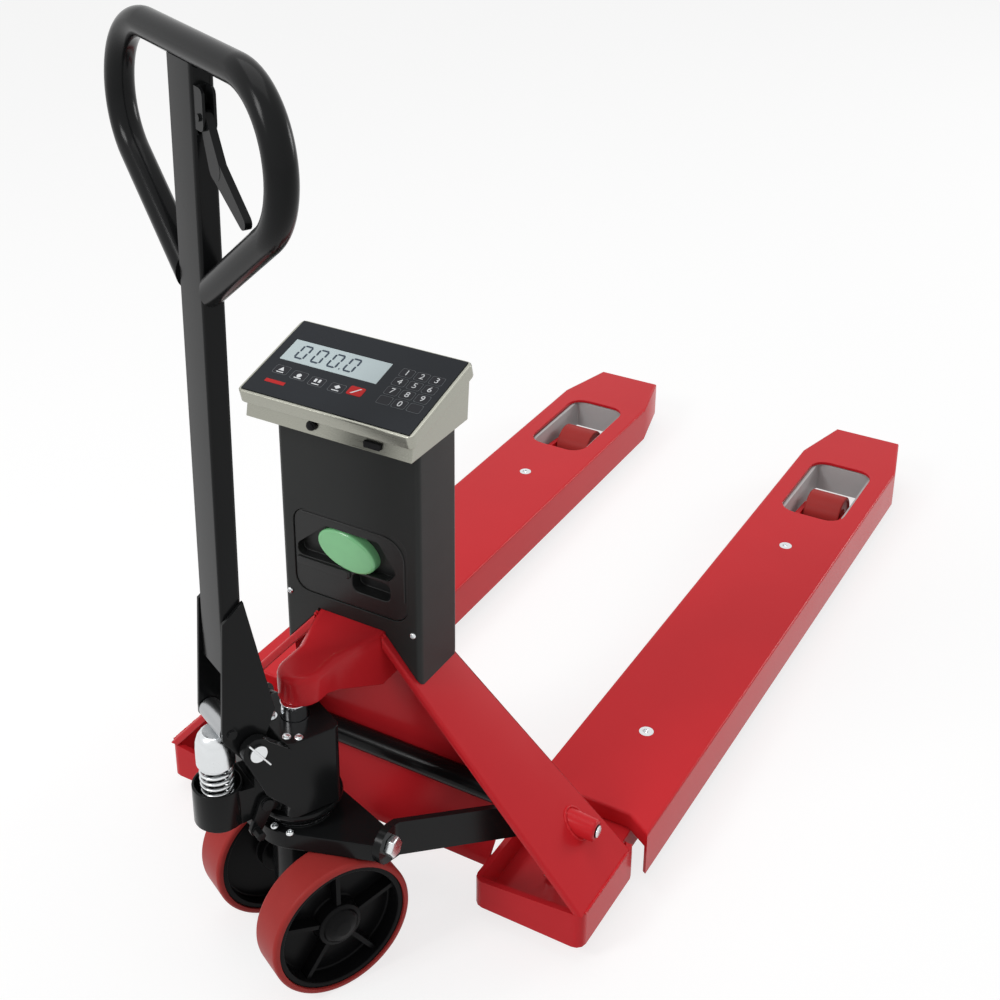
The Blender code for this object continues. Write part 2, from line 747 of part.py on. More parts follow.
def roller_lever():
    inner = ROLLER_WIDTH / 2 + ROLLER_SIDE_GAP
    outer = inner + LEVER_PLATE
    lever = lever_plate("roller_lever_right", FORK_X + inner, FORK_X + outer)
    other = lever_plate("other", FORK_X - outer, FORK_X - inner)
    deep = LEVER_PLATE / 2
    tube = cylinder("tube", LEVER_TUBE_RADIUS, "X", (LEVER_PIVOT_Y, LEVER_PIVOT_Z),
                    FORK_X - inner - deep, FORK_X + inner + deep, 20)
    pin = cylinder("pin", PUSH_PIN_RADIUS, "X", (PUSH_PIN_Y, PUSH_PIN_Z), FORK_X - inner - deep,
                   FORK_X + inner + deep, 16)
    run = Vector((ROLLER_Y - LEVER_PIVOT_Y, ROLLER_RADIUS - LEVER_PIVOT_Z)).normalized()
    start = Vector((LEVER_PIVOT_Y, LEVER_PIVOT_Z)) + run * (LEVER_TUBE_RADIUS + SWING_ROOM)
    end = Vector((ROLLER_Y, ROLLER_RADIUS)) - run * (ROLLER_RADIUS + 2 * SWING_ROOM)
    side = Vector((-run.y, run.x)) * (LEVER_WEB / 2)
    web = prism("web", [start - side, end - side, end + side, start + side], "X",
                FORK_X - inner - deep, FORK_X + inner + deep)
    join(lever, other, tube, pin, web)
    pivot_bore = cylinder("bore", LEVER_PIN_RADIUS + GAP, "X", (LEVER_PIVOT_Y, LEVER_PIVOT_Z),
                          FORK_X - RAIL_SPACING, FORK_X + RAIL_SPACING, 16)
    axle_bore = cylinder("axle_bore", ROLLER_AXLE_RADIUS + GAP, "X", (ROLLER_Y, ROLLER_RADIUS),
                         FORK_X - RAIL_SPACING, FORK_X + RAIL_SPACING, 16)
    return cut(lever, pivot_bore, axle_bore)


def roller_axle():
    reach = ROLLER_WIDTH / 2 + ROLLER_SIDE_GAP + LEVER_PLATE + AXLE_OVERHANG
    return cylinder("roller_axle_right", ROLLER_AXLE_RADIUS, "X", (ROLLER_Y, ROLLER_RADIUS),
                    FORK_X - reach, FORK_X + reach, 16)


def load_roller():
    """Tread with rounded shoulders and dished ends, bored for its axle."""
    half = ROLLER_WIDTH / 2
    bore = ROLLER_AXLE_RADIUS + GAP
    shoulder = TREAD_ROUND / 2
    boss = 2 * ROLLER_AXLE_RADIUS
    rim = ROLLER_RADIUS - 2 * shoulder
    dish = half - shoulder
    profile = [(bore, -half), (boss, -half), (boss, -dish), (rim, -dish), (rim, -half),
               (ROLLER_RADIUS - shoulder, -half), (ROLLER_RADIUS, -dish), (ROLLER_RADIUS, dish),
               (ROLLER_RADIUS - shoulder, half), (rim, half), (rim, dish), (boss, dish), (boss, half),
               (bore, half)]
    placed = [(radius, FORK_X + x) for radius, x in profile]
    return turned("load_roller_right", placed, "X", (ROLLER_Y, ROLLER_RADIUS), 32)


def push_rod():
    """Flat bar in the beam, with a post at the crank and a raised nose at the lever's push pin."""
    top = ROD_LOW + ROD_DEPTH
    crank_face = CRANK_PIN_Y + CRANK_PIN_RADIUS + GAP
    nose_face = PUSH_PIN_Y - PUSH_PIN_RADIUS - GAP
    nose_low = PUSH_PIN_Z - ROD_NOSE_DEPTH / 2
    nose_top = PUSH_PIN_Z + ROD_NOSE_DEPTH / 2
    bar_end = LEVER_PIVOT_Y - LEVER_TUBE_RADIUS - ROD_STROKE - SWING_ROOM
    post_top = CRANK_PIN_Z + CRANK_PIN_RADIUS
    side = [(crank_face, ROD_LOW), (bar_end, ROD_LOW), (bar_end, nose_low), (nose_face, nose_low),
            (nose_face, nose_top), (bar_end - ROD_POST, nose_top), (bar_end - ROD_POST, top),
            (crank_face + 2 * ROD_POST, top), (crank_face + ROD_POST, top + ROD_POST),
            (crank_face + ROD_POST, post_top), (crank_face, post_top)]
    return prism("push_rod_right", side, "X", ROD_X - ROD_WIDTH / 2, ROD_X + ROD_WIDTH / 2)


# Rocker shaft, arms and yoke bolts

def rocker_shaft():
    """Round bar between the legs, turned down at both ends to run in the bosses."""
    step = leg_x(SHAFT_Z + SHAFT_RADIUS, LEG_PLATE) - SWING_ROOM
    profile = [(0, -SHAFT_END_X), (JOURNAL_RADIUS, -SHAFT_END_X), (JOURNAL_RADIUS, -step),
               (SHAFT_RADIUS, -step), (SHAFT_RADIUS, step), (JOURNAL_RADIUS, step),
               (JOURNAL_RADIUS, SHAFT_END_X), (0, SHAFT_END_X)]
    return turned("rocker_shaft", profile, "X", (SHAFT_Y, SHAFT_Z), 28)


def rocker_arm():
    """Plate bent in plan from the yoke bolt to the shaft, with the crank that works the push rod."""
    eye_x = YOKE_END_X + GAP
    eye_y = 0
    bend = ARM_EYE_RADIUS
    hub_left = ARM_HUB_X - ARM_PLATE / 2
    hub_start = SHAFT_Y - ARM_HUB_RADIUS
    hub_end = SHAFT_Y + 2 * ARM_HUB_RADIUS
    plan = band([(hub_left, hub_end), (hub_left, hub_start), (eye_x, eye_y + bend),
                 (eye_x, eye_y - 2 * bend)], ARM_PLATE)
    arm = prism("rocker_arm_right", plan, "Z", 0, 2 * YOKE_PIN_Z)
    side = lobe((eye_y, YOKE_PIN_Z), (SHAFT_Y, SHAFT_Z), ARM_EYE_RADIUS, ARM_HUB_RADIUS, 9)
    keep(arm, prism("side", side, "X", 0, BASE_OUTER_X))
    swing = lobe((SHAFT_Y, SHAFT_Z), (CRANK_PIN_Y, CRANK_PIN_Z), ARM_HUB_RADIUS - GAP, CRANK_END_RADIUS)
    crank = prism("crank", swing, "X", ARM_HUB_X - CRANK_PLATE / 2, ARM_HUB_X + CRANK_PLATE / 2)
    pin = cylinder("pin", CRANK_PIN_RADIUS, "X", (CRANK_PIN_Y, CRANK_PIN_Z), ARM_HUB_X,
                   ROD_X + ROD_WIDTH / 2 + CRANK_PIN_RADIUS / 2, 16)
    join(arm, crank, pin)
    shaft_bore = cylinder("shaft_bore", SHAFT_RADIUS + GAP, "X", (SHAFT_Y, SHAFT_Z), 0, BASE_OUTER_X, 28)
    bolt_bore = cylinder("bolt_bore", YOKE_BOLT_RADIUS + GAP, "X", (eye_y, YOKE_PIN_Z), 0, BASE_OUTER_X, 16)
    return cut(arm, shaft_bore, bolt_bore)


def yoke_bolt():
    start = YOKE_END_X + GAP
    face = start + ARM_PLATE + GAP
    shank = cylinder("yoke_bolt_right", YOKE_BOLT_RADIUS, "X", (0, YOKE_PIN_Z), start,
                     face + YOKE_BOLT_HEAD / 2, 16)
    end = face + YOKE_BOLT_HEAD
    chamfer = YOKE_BOLT_HEAD / 5
    crown = [(0, face), (YOKE_BOLT_HEAD_RADIUS, face), (YOKE_BOLT_HEAD_RADIUS, end - chamfer),
             (YOKE_BOLT_HEAD_RADIUS - chamfer, end), (0, end)]
    return join(shank, turned("head", crown, "X", (0, YOKE_PIN_Z), 6))


# Bases, legs and panel

def leg_line(offset):
    """Constant of a leg face, x + z / rise, at a depth below the leg's outer face."""
    slope = 1 / LEG_RISE
    return BASE_OUTER_X + BASE_OUTER_TOP * slope - offset * math.sqrt(1 + slope ** 2)


def leg_x(z, offset):
    return leg_line(offset) - z / LEG_RISE


def leg_z(x, offset):
    return (leg_line(offset) - x) * LEG_RISE


def base():
    """Box with an open top at the fork's root: lower inside, and notched at the back for the push rod."""
    corners = rectangle(BASE_INNER_X, BASE_FRONT_Y, BASE_OUTER_X, BASE_BACK_Y)
    shell = prism("base_right", rounded(corners, BASE_CORNER, 3), "Z", BASE_LOW, BASE_OUTER_TOP)
    inner = rectangle(BASE_INNER_X + BASE_WALL, BASE_FRONT_Y + BASE_WALL, BASE_OUTER_X - BASE_WALL,
                      BASE_BACK_Y - BASE_WALL)
    hollow = prism("hollow", rounded(inner, BASE_CORNER - BASE_WALL, 3), "Z", BASE_LOW + BASE_FLOOR,
                   2 * BASE_OUTER_TOP)
    shoulder = BASE_OUTER_X - BASE_CORNER
    slope = prism("slope", [(BASE_INNER_X - BASE_WALL, BASE_INNER_TOP), (shoulder, BASE_OUTER_TOP + GAP),
                            (BASE_INNER_X - BASE_WALL, 2 * BASE_OUTER_TOP)], "Y", 0, COVER_ROOT_Y)
    notch = box("notch", (ROD_X - ROD_WIDTH, BASE_BACK_Y - 2 * BASE_WALL, 0),
                (ROD_X + ROD_WIDTH, BASE_BACK_Y + BASE_WALL, ROD_LOW + ROD_DEPTH + SWING_ROOM))
    step = box("step", (BASE_INNER_X - BASE_WALL, BASE_BACK_Y - BASE_WALL - GAP, BEAM_TOP),
               (BASE_OUTER_X + BASE_WALL, BASE_BACK_Y + BASE_WALL, 2 * BASE_OUTER_TOP))
    return cut(shell, hollow, slope, notch, step)


def leg():
    """Sloping plate from the base's outer wall to the head, with its edges leaning in as it rises."""
    section = [(leg_x(LEG_FOOT_Z, 0), LEG_FOOT_Z), (LEG_TOP_X, leg_z(LEG_TOP_X, 0)),
               (LEG_TOP_X, leg_z(LEG_TOP_X, LEG_PLATE)), (leg_x(LEG_FOOT_Z, LEG_PLATE), LEG_FOOT_Z)]
    plate = prism("leg_right", section, "Y", 0, COVER_ROOT_Y)
    top = leg_z(LEG_TOP_X, 0)
    front = (LEG_TOP_FRONT_Y - LEG_FOOT_FRONT_Y) / (top - LEG_FOOT_Z)
    back = (LEG_TOP_BACK_Y - LEG_FOOT_BACK_Y) / (top - LEG_FOOT_Z)
    spare = LEG_PLATE
    side = [(LEG_FOOT_FRONT_Y - front * spare, LEG_FOOT_Z - spare),
            (LEG_FOOT_BACK_Y - back * spare, LEG_FOOT_Z - spare),
            (LEG_TOP_BACK_Y + back * spare, top + spare), (LEG_TOP_FRONT_Y + front * spare, top + spare)]
    keep(plate, prism("side", side, "X", 0, FORK_SPREAD))
    def outer_edge(a, b):
        off = abs(leg_x(a.z, 0) - a.x) + abs(leg_x(b.z, 0) - b.x)
        return abs(a.z - b.z) > LEG_PLATE * 2 and off < 1e-4

    soften(plate, LEG_EDGE_ROUND, 2, outer_edge)
    hole = cylinder("hole", JOURNAL_RADIUS + GAP, "X", (SHAFT_Y, SHAFT_Z), LEG_TOP_X, BASE_OUTER_X, 28)
    return cut(plate, hole)


def shaft_boss():
    """Bearing on the outside of the leg, cut to the leg's slope."""
    root = leg_x(SHAFT_Z + BOSS_FOOT_RADIUS, 0) - BASE_WALL
    outline = [(BOSS_FOOT_RADIUS + GAP, root), (BOSS_END_RADIUS + SWING_ROOM, BOSS_END_X - SWING_ROOM),
               (BOSS_END_RADIUS, BOSS_END_X), (JOURNAL_RADIUS + GAP, BOSS_END_X),
               (JOURNAL_RADIUS + GAP, root)]
    boss = turned("shaft_boss_right", outline, "X", (SHAFT_Y, SHAFT_Z), 28)
    face = leg_line(-GAP)
    low = SHAFT_Z - 2 * BOSS_FOOT_RADIUS
    high = SHAFT_Z + 2 * BOSS_FOOT_RADIUS
    behind = [(face - low / LEG_RISE, low), (face - high / LEG_RISE, high), (0, high), (0, low)]
    return cut(boss, prism("behind", behind, "Y", SHAFT_Y - 2 * BOSS_FOOT_RADIUS,
                           SHAFT_Y + 2 * BOSS_FOOT_RADIUS))


def back_panel():
    """Bent sheet between the legs, behind and under the rocker shaft."""
    line = [(PANEL_TOE_Y, PANEL_LOW_Z), (PANEL_TOE_Y, PANEL_TOE_Z), (PANEL_BEND_Y, PANEL_BEND_Z),
            (PANEL_TOP_Y, PANEL_TOP_Z)]
    sheet = prism("back_panel", band(line, -PANEL_SHEET), "X", -PANEL_HALF_WIDTH, PANEL_HALF_WIDTH)
    inside = LEG_PLATE + GAP
    knee = leg_z(PANEL_HALF_WIDTH, inside)
    high = leg_z(0, inside)
    front = [(-PANEL_HALF_WIDTH - PANEL_SHEET, 0), (PANEL_HALF_WIDTH + PANEL_SHEET, 0),
             (PANEL_HALF_WIDTH + PANEL_SHEET, leg_z(PANEL_HALF_WIDTH + PANEL_SHEET, inside)),
             (PANEL_HALF_WIDTH, knee), (0, high), (-PANEL_HALF_WIDTH, knee),
             (-PANEL_HALF_WIDTH - PANEL_SHEET, leg_z(PANEL_HALF_WIDTH + PANEL_SHEET, inside))]
    return keep(sheet, prism("front", front, "Y", 0, COVER_ROOT_Y))


# Head, ram, column and battery

def head():
    """Gooseneck casting: a round nose over the ram that widens and deepens back to the legs."""
    nose = arc((0, NOSE_Y), NOSE_RADIUS, 180, 360, 12)
    plan = nose + [(NOSE_RADIUS, NECK_Y), (HEAD_HALF_WIDTH, SHOULDER_Y), (HEAD_HALF_WIDTH, HEAD_BACK_Y),
                   (-HEAD_HALF_WIDTH, HEAD_BACK_Y), (-HEAD_HALF_WIDTH, SHOULDER_Y), (-NOSE_RADIUS, NECK_Y)]
    block = prism("head", plan, "Z", HEAD_FOOT - HEAD_ROUND, HEAD_TOP)
    def free_top(a, b):
        return min(a.z, b.z) > HEAD_TOP - 1e-5 and max(a.y, b.y) < COLUMN_FRONT_Y

    soften(block, HEAD_ROUND, 3, free_top)
    past = HEAD_BACK_Y + NOSE_RADIUS
    side = [(-2 * NOSE_RADIUS, NOSE_LOW), (NOSE_RADIUS, NOSE_LOW), (SHOULDER_Y, HEAD_FOOT), (past, HEAD_FOOT),
            (past, 2 * HEAD_TOP), (-2 * NOSE_RADIUS, 2 * HEAD_TOP)]
    return keep(block, prism("side", side, "X", -2 * HEAD_HALF_WIDTH, 2 * HEAD_HALF_WIDTH))


def lift_ram():
    return cylinder("lift_ram", RAM_RADIUS, "Z", (0, 0), RAM_LOW, NOSE_LOW - GAP, 28)


def column():
    """Sheet case that straddles the legs and the head, with a bay for the battery in its front."""
    half = COLUMN_WIDTH / 2
    low = leg_z(half, 0) - COLUMN_WALL
    case = box("column", (-half, COLUMN_FRONT_Y, low), (half, COLUMN_BACK_Y, COLUMN_TOP))
    soften(case, COLUMN_CORNER, 2, upright)
    hollow = box("hollow", (COLUMN_WALL - half, COLUMN_FRONT_Y + COLUMN_WALL, low - COLUMN_WALL),
                 (half - COLUMN_WALL, COLUMN_BACK_Y - COLUMN_WALL, COLUMN_TOP - COLUMN_WALL))
    wide = COLUMN_WIDTH
    slack = leg_z(0, -GAP) - leg_z(0, 0)
    saddle = [(-wide, leg_z(wide, 0) + slack), (-LEG_TOP_X, leg_z(LEG_TOP_X, 0) + slack),
              (-LEG_TOP_X, HEAD_TOP + GAP),
              (LEG_TOP_X, HEAD_TOP + GAP), (LEG_TOP_X, leg_z(LEG_TOP_X, 0) + slack),
              (wide, leg_z(wide, 0) + slack),
              (wide, 0), (-wide, 0)]
    straddle = prism("straddle", saddle, "Y", 0, COVER_ROOT_Y)
    bay = prism("bay", battery_front(GAP), "Y", 0, COLUMN_FRONT_Y + 2 * COLUMN_WALL)
    return cut(case, hollow, straddle, bay)


def battery_front(margin):
    half = BATTERY_WIDTH / 2 + margin
    corners = rectangle(-half, BATTERY_LOW - margin, half, BATTERY_LOW + BATTERY_HEIGHT + margin)
    return rounded(corners, BATTERY_CORNER + margin, 5)


def battery():
    """Pack with a rounded front and a finger pocket to draw it out by."""
    face = COLUMN_FRONT_Y + BATTERY_INSET
    pack = prism("battery", battery_front(0), "Y", face, face + BATTERY_DEPTH)
    pocket = rectangle(GRIP_X - GRIP_WIDTH / 2, GRIP_Z - GRIP_HEIGHT / 2, GRIP_X + GRIP_WIDTH / 2,
                       GRIP_Z + GRIP_HEIGHT / 2)
    return cut(pack, prism("pocket", rounded(pocket, GRIP_HEIGHT / 3, 3), "Y", 0, face + GRIP_DEPTH))


# Indicator

def face_point(distance, height):
    """Side-view point at a distance up the indicator's sloping face and a height above it."""
    run = Vector((math.cos(BEZEL_TILT), math.sin(BEZEL_TILT)))
    rise = Vector((-run.y, run.x))
    return tuple(Vector((BEZEL_FRONT_Y, BEZEL_FRONT_Z)) + run * distance + rise * height)


def face_slab(name, left, right, low, high, bottom, top):
    """Slab that lies on the indicator's face."""
    side = [face_point(low, bottom), face_point(high, bottom), face_point(high, top), face_point(low, top)]
    return prism(name, side, "X", left, right)


def indicator_bezel():
    half = BEZEL_WIDTH / 2
    bezel = face_slab("indicator_bezel", -half, half, 0, BEZEL_LENGTH, -BEZEL_THICK, 0)
    rise = Vector((0, -math.sin(BEZEL_TILT), math.cos(BEZEL_TILT)))
    soften(bezel, BEZEL_CORNER, 3, lambda a, b: (a - b).normalized().cross(rise).length < 1e-3)
    soften(bezel, SHEET_MARGIN / 2, 1,
           lambda a, b: min((a - Vector((0, BEZEL_FRONT_Y, BEZEL_FRONT_Z))).dot(rise),
                            (b - Vector((0, BEZEL_FRONT_Y, BEZEL_FRONT_Z))).dot(rise)) > -1e-5)
    return bezel


def indicator_body():
    """Wedge-shaped sheet case under the bezel, open at the top where the bezel closes it."""
    low = COLUMN_TOP + GAP
    half = BODY_WIDTH / 2
    under = -BEZEL_THICK - GAP
    front_top = face_point((BODY_FRONT_Y - BEZEL_FRONT_Y) / math.cos(BEZEL_TILT), under)
    back_top = face_point((BODY_BACK_Y - BEZEL_FRONT_Y) / math.cos(BEZEL_TILT), under)
    side = [(BODY_FRONT_Y, low), (BODY_BACK_Y, low), back_top, front_top]
    body = prism("indicator_body", side, "X", -half, half)
    inner_half = half - BODY_WALL
    inner = [(BODY_FRONT_Y + 3 * BODY_WALL, low + BODY_WALL), (BODY_BACK_Y - 3 * BODY_WALL, low + BODY_WALL),
             (BODY_BACK_Y - 3 * BODY_WALL, BEZEL_FRONT_Z + BEZEL_LENGTH),
             (BODY_FRONT_Y + 3 * BODY_WALL, BEZEL_FRONT_Z)]
    return cut(body, prism("inner", inner, "X", -inner_half, inner_half))


def keypad_panel():
    half = SHEET_WIDTH / 2
    sheet = face_slab("keypad_panel", -half, half, SHEET_MARGIN, BEZEL_LENGTH - SHEET_MARGIN, GAP,
                      GAP + SHEET_THICK)
    pane = face_slab("pane", DISPLAY_LEFT - GAP, DISPLAY_RIGHT + GAP, DISPLAY_LOW - GAP, DISPLAY_HIGH + GAP,
                     -BEZEL_THICK / 2, BEZEL_THICK)
    return cut(sheet, pane)


def display():
    return face_slab("display", DISPLAY_LEFT, DISPLAY_RIGHT, DISPLAY_LOW, DISPLAY_HIGH, GAP, SHEET_THICK)


# Pump, in the steered frame

def ear_outline():
    """Cheek from the pump's front up and round the handle's pivot."""
    top = arc((HANDLE_Y, HANDLE_Z), EAR_RADIUS, 30, 210, 9)
    inside = PUMP_FRONT_Y + PUMP_CORNER
    return top + [(HANDLE_Y + EAR_RADIUS / 2, CUP_TOP - CUP_FLOOR), (inside, PUMP_LOW + PUMP_CORNER),
                  (inside, PUMP_TOP - PUMP_CORNER)]


def pump_body():
    """Casting: valve block, ears for the handle, plunger cup, flange bowl and steering spigot."""
    block = box("pump_body", (-PUMP_HALF_WIDTH, PUMP_FRONT_Y, PUMP_LOW),
                (PUMP_HALF_WIDTH, PUMP_BACK_Y, PUMP_TOP))
    soften(block, PUMP_CORNER, 2, upright)
    bowl = turned("bowl", [(0, FLANGE_LOW), (FLANGE_FOOT_RADIUS, FLANGE_LOW),
                           (FLANGE_RADIUS, FLANGE_LOW + CUP_FLOOR),
                           (FLANGE_RADIUS, PUMP_LOW - CUP_FLOOR),
                           (FLANGE_FOOT_RADIUS, PUMP_LOW + CUP_FLOOR / 2),
                           (0, PUMP_LOW + CUP_FLOOR / 2)], "Z", (0, 0), 36)
    spigot = cylinder("spigot", SPIGOT_RADIUS, "Z", (0, 0), SPIGOT_LOW, FLANGE_LOW + CUP_FLOOR, 28)
    web_side = [(PLUNGER_Y, CUP_LOW + CUP_FLOOR / 2), (PUMP_FRONT_Y + PUMP_CORNER, CUP_LOW + CUP_FLOOR),
                (PUMP_FRONT_Y + PUMP_CORNER, WEB_TOP), (WEB_FRONT_Y, WEB_TOP),
                (WEB_FRONT_Y, CUP_TOP - CUP_FLOOR), (PLUNGER_Y, CUP_TOP - CUP_FLOOR)]
    web = prism("web", web_side, "X", -WEB_HALF_WIDTH, WEB_HALF_WIDTH)
    cup = turned("cup", [(0, CUP_LOW), (CUP_RADIUS - CUP_FLOOR, CUP_LOW), (CUP_RADIUS, CUP_LOW + CUP_FLOOR),
                         (CUP_RADIUS, CUP_TOP), (0, CUP_TOP)], "Z", (0, PLUNGER_Y), 28)
    ears = [prism("ear", ear_outline(), "X", EAR_INNER_X, EAR_OUTER_X - GAP),
            prism("ear", ear_outline(), "X", GAP - EAR_OUTER_X, -EAR_INNER_X)]
    join(block, bowl, spigot, web, cup, *ears)
    cup_bore = cylinder("cup_bore", CUP_BORE, "Z", (0, PLUNGER_Y), CUP_LOW + CUP_FLOOR, PUMP_TOP, 28)
    ram_bore = cylinder("ram_bore", RAM_RADIUS + GAP, "Z", (0, 0), RAM_LOW - GAP, PUMP_TOP + CUP_FLOOR, 28)
    pin_bore = cylinder("pin_bore", PIVOT_PIN_RADIUS + GAP, "X", (HANDLE_Y, HANDLE_Z),
                        -2 * PUMP_HALF_WIDTH, 2 * PUMP_HALF_WIDTH, 20)
    return cut(block, cup_bore, ram_bore, pin_bore)


def thrust_bearing():
    low = YOKE_TOP + GAP
    high = low + BEARING_HEIGHT
    bore = SPIGOT_RADIUS + GAP
    return turned("thrust_bearing", [(bore, low), (BEARING_RADIUS, low), (BEARING_RADIUS, high),
                                     (bore, high)], "Z", (0, 0), 28)


def pump_yoke():
    """Plate round the spigot that tapers out to the two rocker bolts."""
    plan = []
    slant = math.degrees(math.atan2(YOKE_RING_RADIUS - YOKE_END_HALF, YOKE_END_X))
    for side in (0, 180):
        plan += [(math.cos(math.radians(side)) * YOKE_END_X, -math.cos(math.radians(side)) * YOKE_END_HALF),
                 (math.cos(math.radians(side)) * YOKE_END_X, math.cos(math.radians(side)) * YOKE_END_HALF)]
        plan += arc((0, 0), YOKE_RING_RADIUS, side + 90 - slant, side + 90 + slant, 6)
    yoke = prism("pump_yoke", plan, "Z", YOKE_LOW, YOKE_TOP)
    bore = cylinder("bore", SPIGOT_RADIUS + GAP, "Z", (0, 0), YOKE_LOW - CUP_FLOOR, YOKE_TOP + CUP_FLOOR, 28)
    return cut(yoke, bore)


def axle_carrier():
    """Boss on the spigot over the cross tube that holds the wheel axle."""
    boss = cylinder("axle_carrier", CARRIER_BOSS_RADIUS, "Z", (0, 0), AXLE_Z, YOKE_LOW - GAP, 28)
    tube = cylinder("tube", CARRIER_TUBE_RADIUS, "X", (0, AXLE_Z), -CARRIER_HALF_LENGTH,
                    CARRIER_HALF_LENGTH, 24)
    join(boss, tube)
    socket = cylinder("socket", SPIGOT_RADIUS + GAP, "Z", (0, 0), SPIGOT_LOW - GAP, YOKE_TOP, 28)
    bore = cylinder("bore", WHEEL_AXLE_RADIUS + GAP, "X", (0, AXLE_Z), -WHEEL_OUTER_X, WHEEL_OUTER_X, 20)
    return cut(boss, socket, bore)


def wheel_axle():
    reach = WHEEL_OUTER_X - HUB_CAP_HEIGHT
    return cylinder("wheel_axle", WHEEL_AXLE_RADIUS, "X", (0, AXLE_Z), -reach, reach, 20)


def steer_tread():
    inner = WHEEL_OUTER_X - WHEEL_WIDTH
    bore = WHEEL_RADIUS - TREAD_THICK
    edge = TREAD_ROUND * 0.3
    profile = [(bore, inner), (WHEEL_RADIUS - TREAD_ROUND, inner), (WHEEL_RADIUS - edge, inner + edge),
               (WHEEL_RADIUS, inner + TREAD_ROUND), (WHEEL_RADIUS, WHEEL_OUTER_X - TREAD_ROUND),
               (WHEEL_RADIUS - edge, WHEEL_OUTER_X - edge), (WHEEL_RADIUS - TREAD_ROUND, WHEEL_OUTER_X),
               (bore, WHEEL_OUTER_X)]
    return turned("steer_tread_right", profile, "X", (0, AXLE_Z), 44)


def steer_hub():
    """Rim, web, ribs and a hub closed by a domed cap, all one moulding."""
    inner = WHEEL_OUTER_X - WHEEL_WIDTH + TREAD_ROUND / 2
    outer = WHEEL_OUTER_X - TREAD_ROUND / 2
    rim = WHEEL_RADIUS - TREAD_THICK - GAP
    rim_inner = rim - RIM_THICK
    middle = WHEEL_OUTER_X - WHEEL_WIDTH / 2
    web_low = middle - HUB_WEB
    bore = WHEEL_AXLE_RADIUS + GAP
    floor = WHEEL_OUTER_X - HUB_CAP_HEIGHT + GAP
    cap = WHEEL_OUTER_X - HUB_CAP_HEIGHT / 2
    profile = [(0, floor), (bore, floor), (bore, inner), (HUB_RADIUS, inner), (HUB_RADIUS, web_low),
               (rim_inner, web_low), (rim_inner, inner), (rim, inner), (rim, outer), (rim_inner, outer),
               (rim_inner, middle), (HUB_RADIUS, middle), (HUB_RADIUS, cap - HUB_CAP_HEIGHT / 2),
               (HUB_CAP_RADIUS, cap), (HUB_CAP_RADIUS * 0.55, cap + HUB_CAP_HEIGHT * 0.6),
               (0, cap + HUB_CAP_HEIGHT * 0.75)]
    hub = turned("steer_hub_right", profile, "X", (0, AXLE_Z), 40)
    ribs = []
    for i in range(SPOKES):
        turn = Matrix.Rotation(2 * math.pi * i / SPOKES + math.pi / 2, 2)
        corners = rectangle(HUB_RADIUS - TREAD_ROUND, -SPOKE_WIDTH / 2, rim_inner + RIM_THICK / 2,
                            SPOKE_WIDTH / 2)
        outline = [turn @ Vector(c) + Vector((0, AXLE_Z)) for c in corners]
        ribs.append(prism("rib", outline, "X", middle - HUB_WEB / 2, middle + SPOKE_DEPTH))
    return join(hub, *ribs)


def plunger():
    """Bell-shaped cap on the spring, with a flat top for the cam roller to press."""
    top = HANDLE_Z + cam_height() - CAM_RADIUS - GAP
    shoulder = CAP_LOW + CAP_SIDE
    profile = [(0, CAP_LOW - STEM_LENGTH), (STEM_RADIUS, CAP_LOW - STEM_LENGTH), (STEM_RADIUS, CAP_LOW),
               (CAP_RADIUS, CAP_LOW)]
    for i in range(5):
        turn = math.pi / 2 * i / 4
        profile.append((BUTTON_RADIUS + (CAP_RADIUS - BUTTON_RADIUS) * math.cos(turn),
                        shoulder + (top - shoulder) * math.sin(turn)))
    profile.append((0, top))
    return turned("plunger", profile, "Z", (0, PLUNGER_Y), 24)


def spring_points():
    low = CUP_LOW + CUP_FLOOR + GAP + WIRE_RADIUS
    high = CAP_LOW - GAP - WIRE_RADIUS
    count = SPRING_TURNS * POINTS_PER_TURN
    points = []
    for i in range(count + 1):
        turn = 2 * math.pi * i / POINTS_PER_TURN
        points.append(Vector((SPRING_RADIUS * math.cos(turn), PLUNGER_Y + SPRING_RADIUS * math.sin(turn),
                              low + (high - low) * i / count)))
    return points


def plunger_spring():
    points = spring_points()
    apart = []
    for i, one in enumerate(points):
        for two in points[i + POINTS_PER_TURN // 2:]:
            apart.append((one - two).length - 2 * WIRE_RADIUS)
    print("spring: least gap to itself %.2f mm" % (1000 * min(apart)))
    return swept("plunger_spring", points, WIRE_RADIUS, 1)


def lowering_lever():
    """Bell crank on the side of the pump's web, with an adjusting bolt at its foot."""
    inner = WEB_HALF_WIDTH + GAP
    outer = inner + LOWERING_PLATE
    foot = (LOWERING_REACH_Y + LOWERING_ROUND, LOWERING_LOW + LOWERING_ROUND)
    arm = lobe((LOWERING_PIVOT_Y, LOWERING_PIVOT_Z), foot, LOWERING_ROUND + SWING_ROOM, LOWERING_ROUND)
    lever = prism("lowering_lever", arm, "X", inner, outer)
    boss = cylinder("boss", LOWERING_ROUND, "X", (LOWERING_PIVOT_Y, LOWERING_PIVOT_Z), inner + GAP,
                    outer + SWING_ROOM, 18)
    bolt = cylinder("bolt", ADJUSTER_RADIUS, "X", foot, inner + GAP, outer + ADJUSTER_LENGTH, 6)
    return join(lever, boss, bolt)


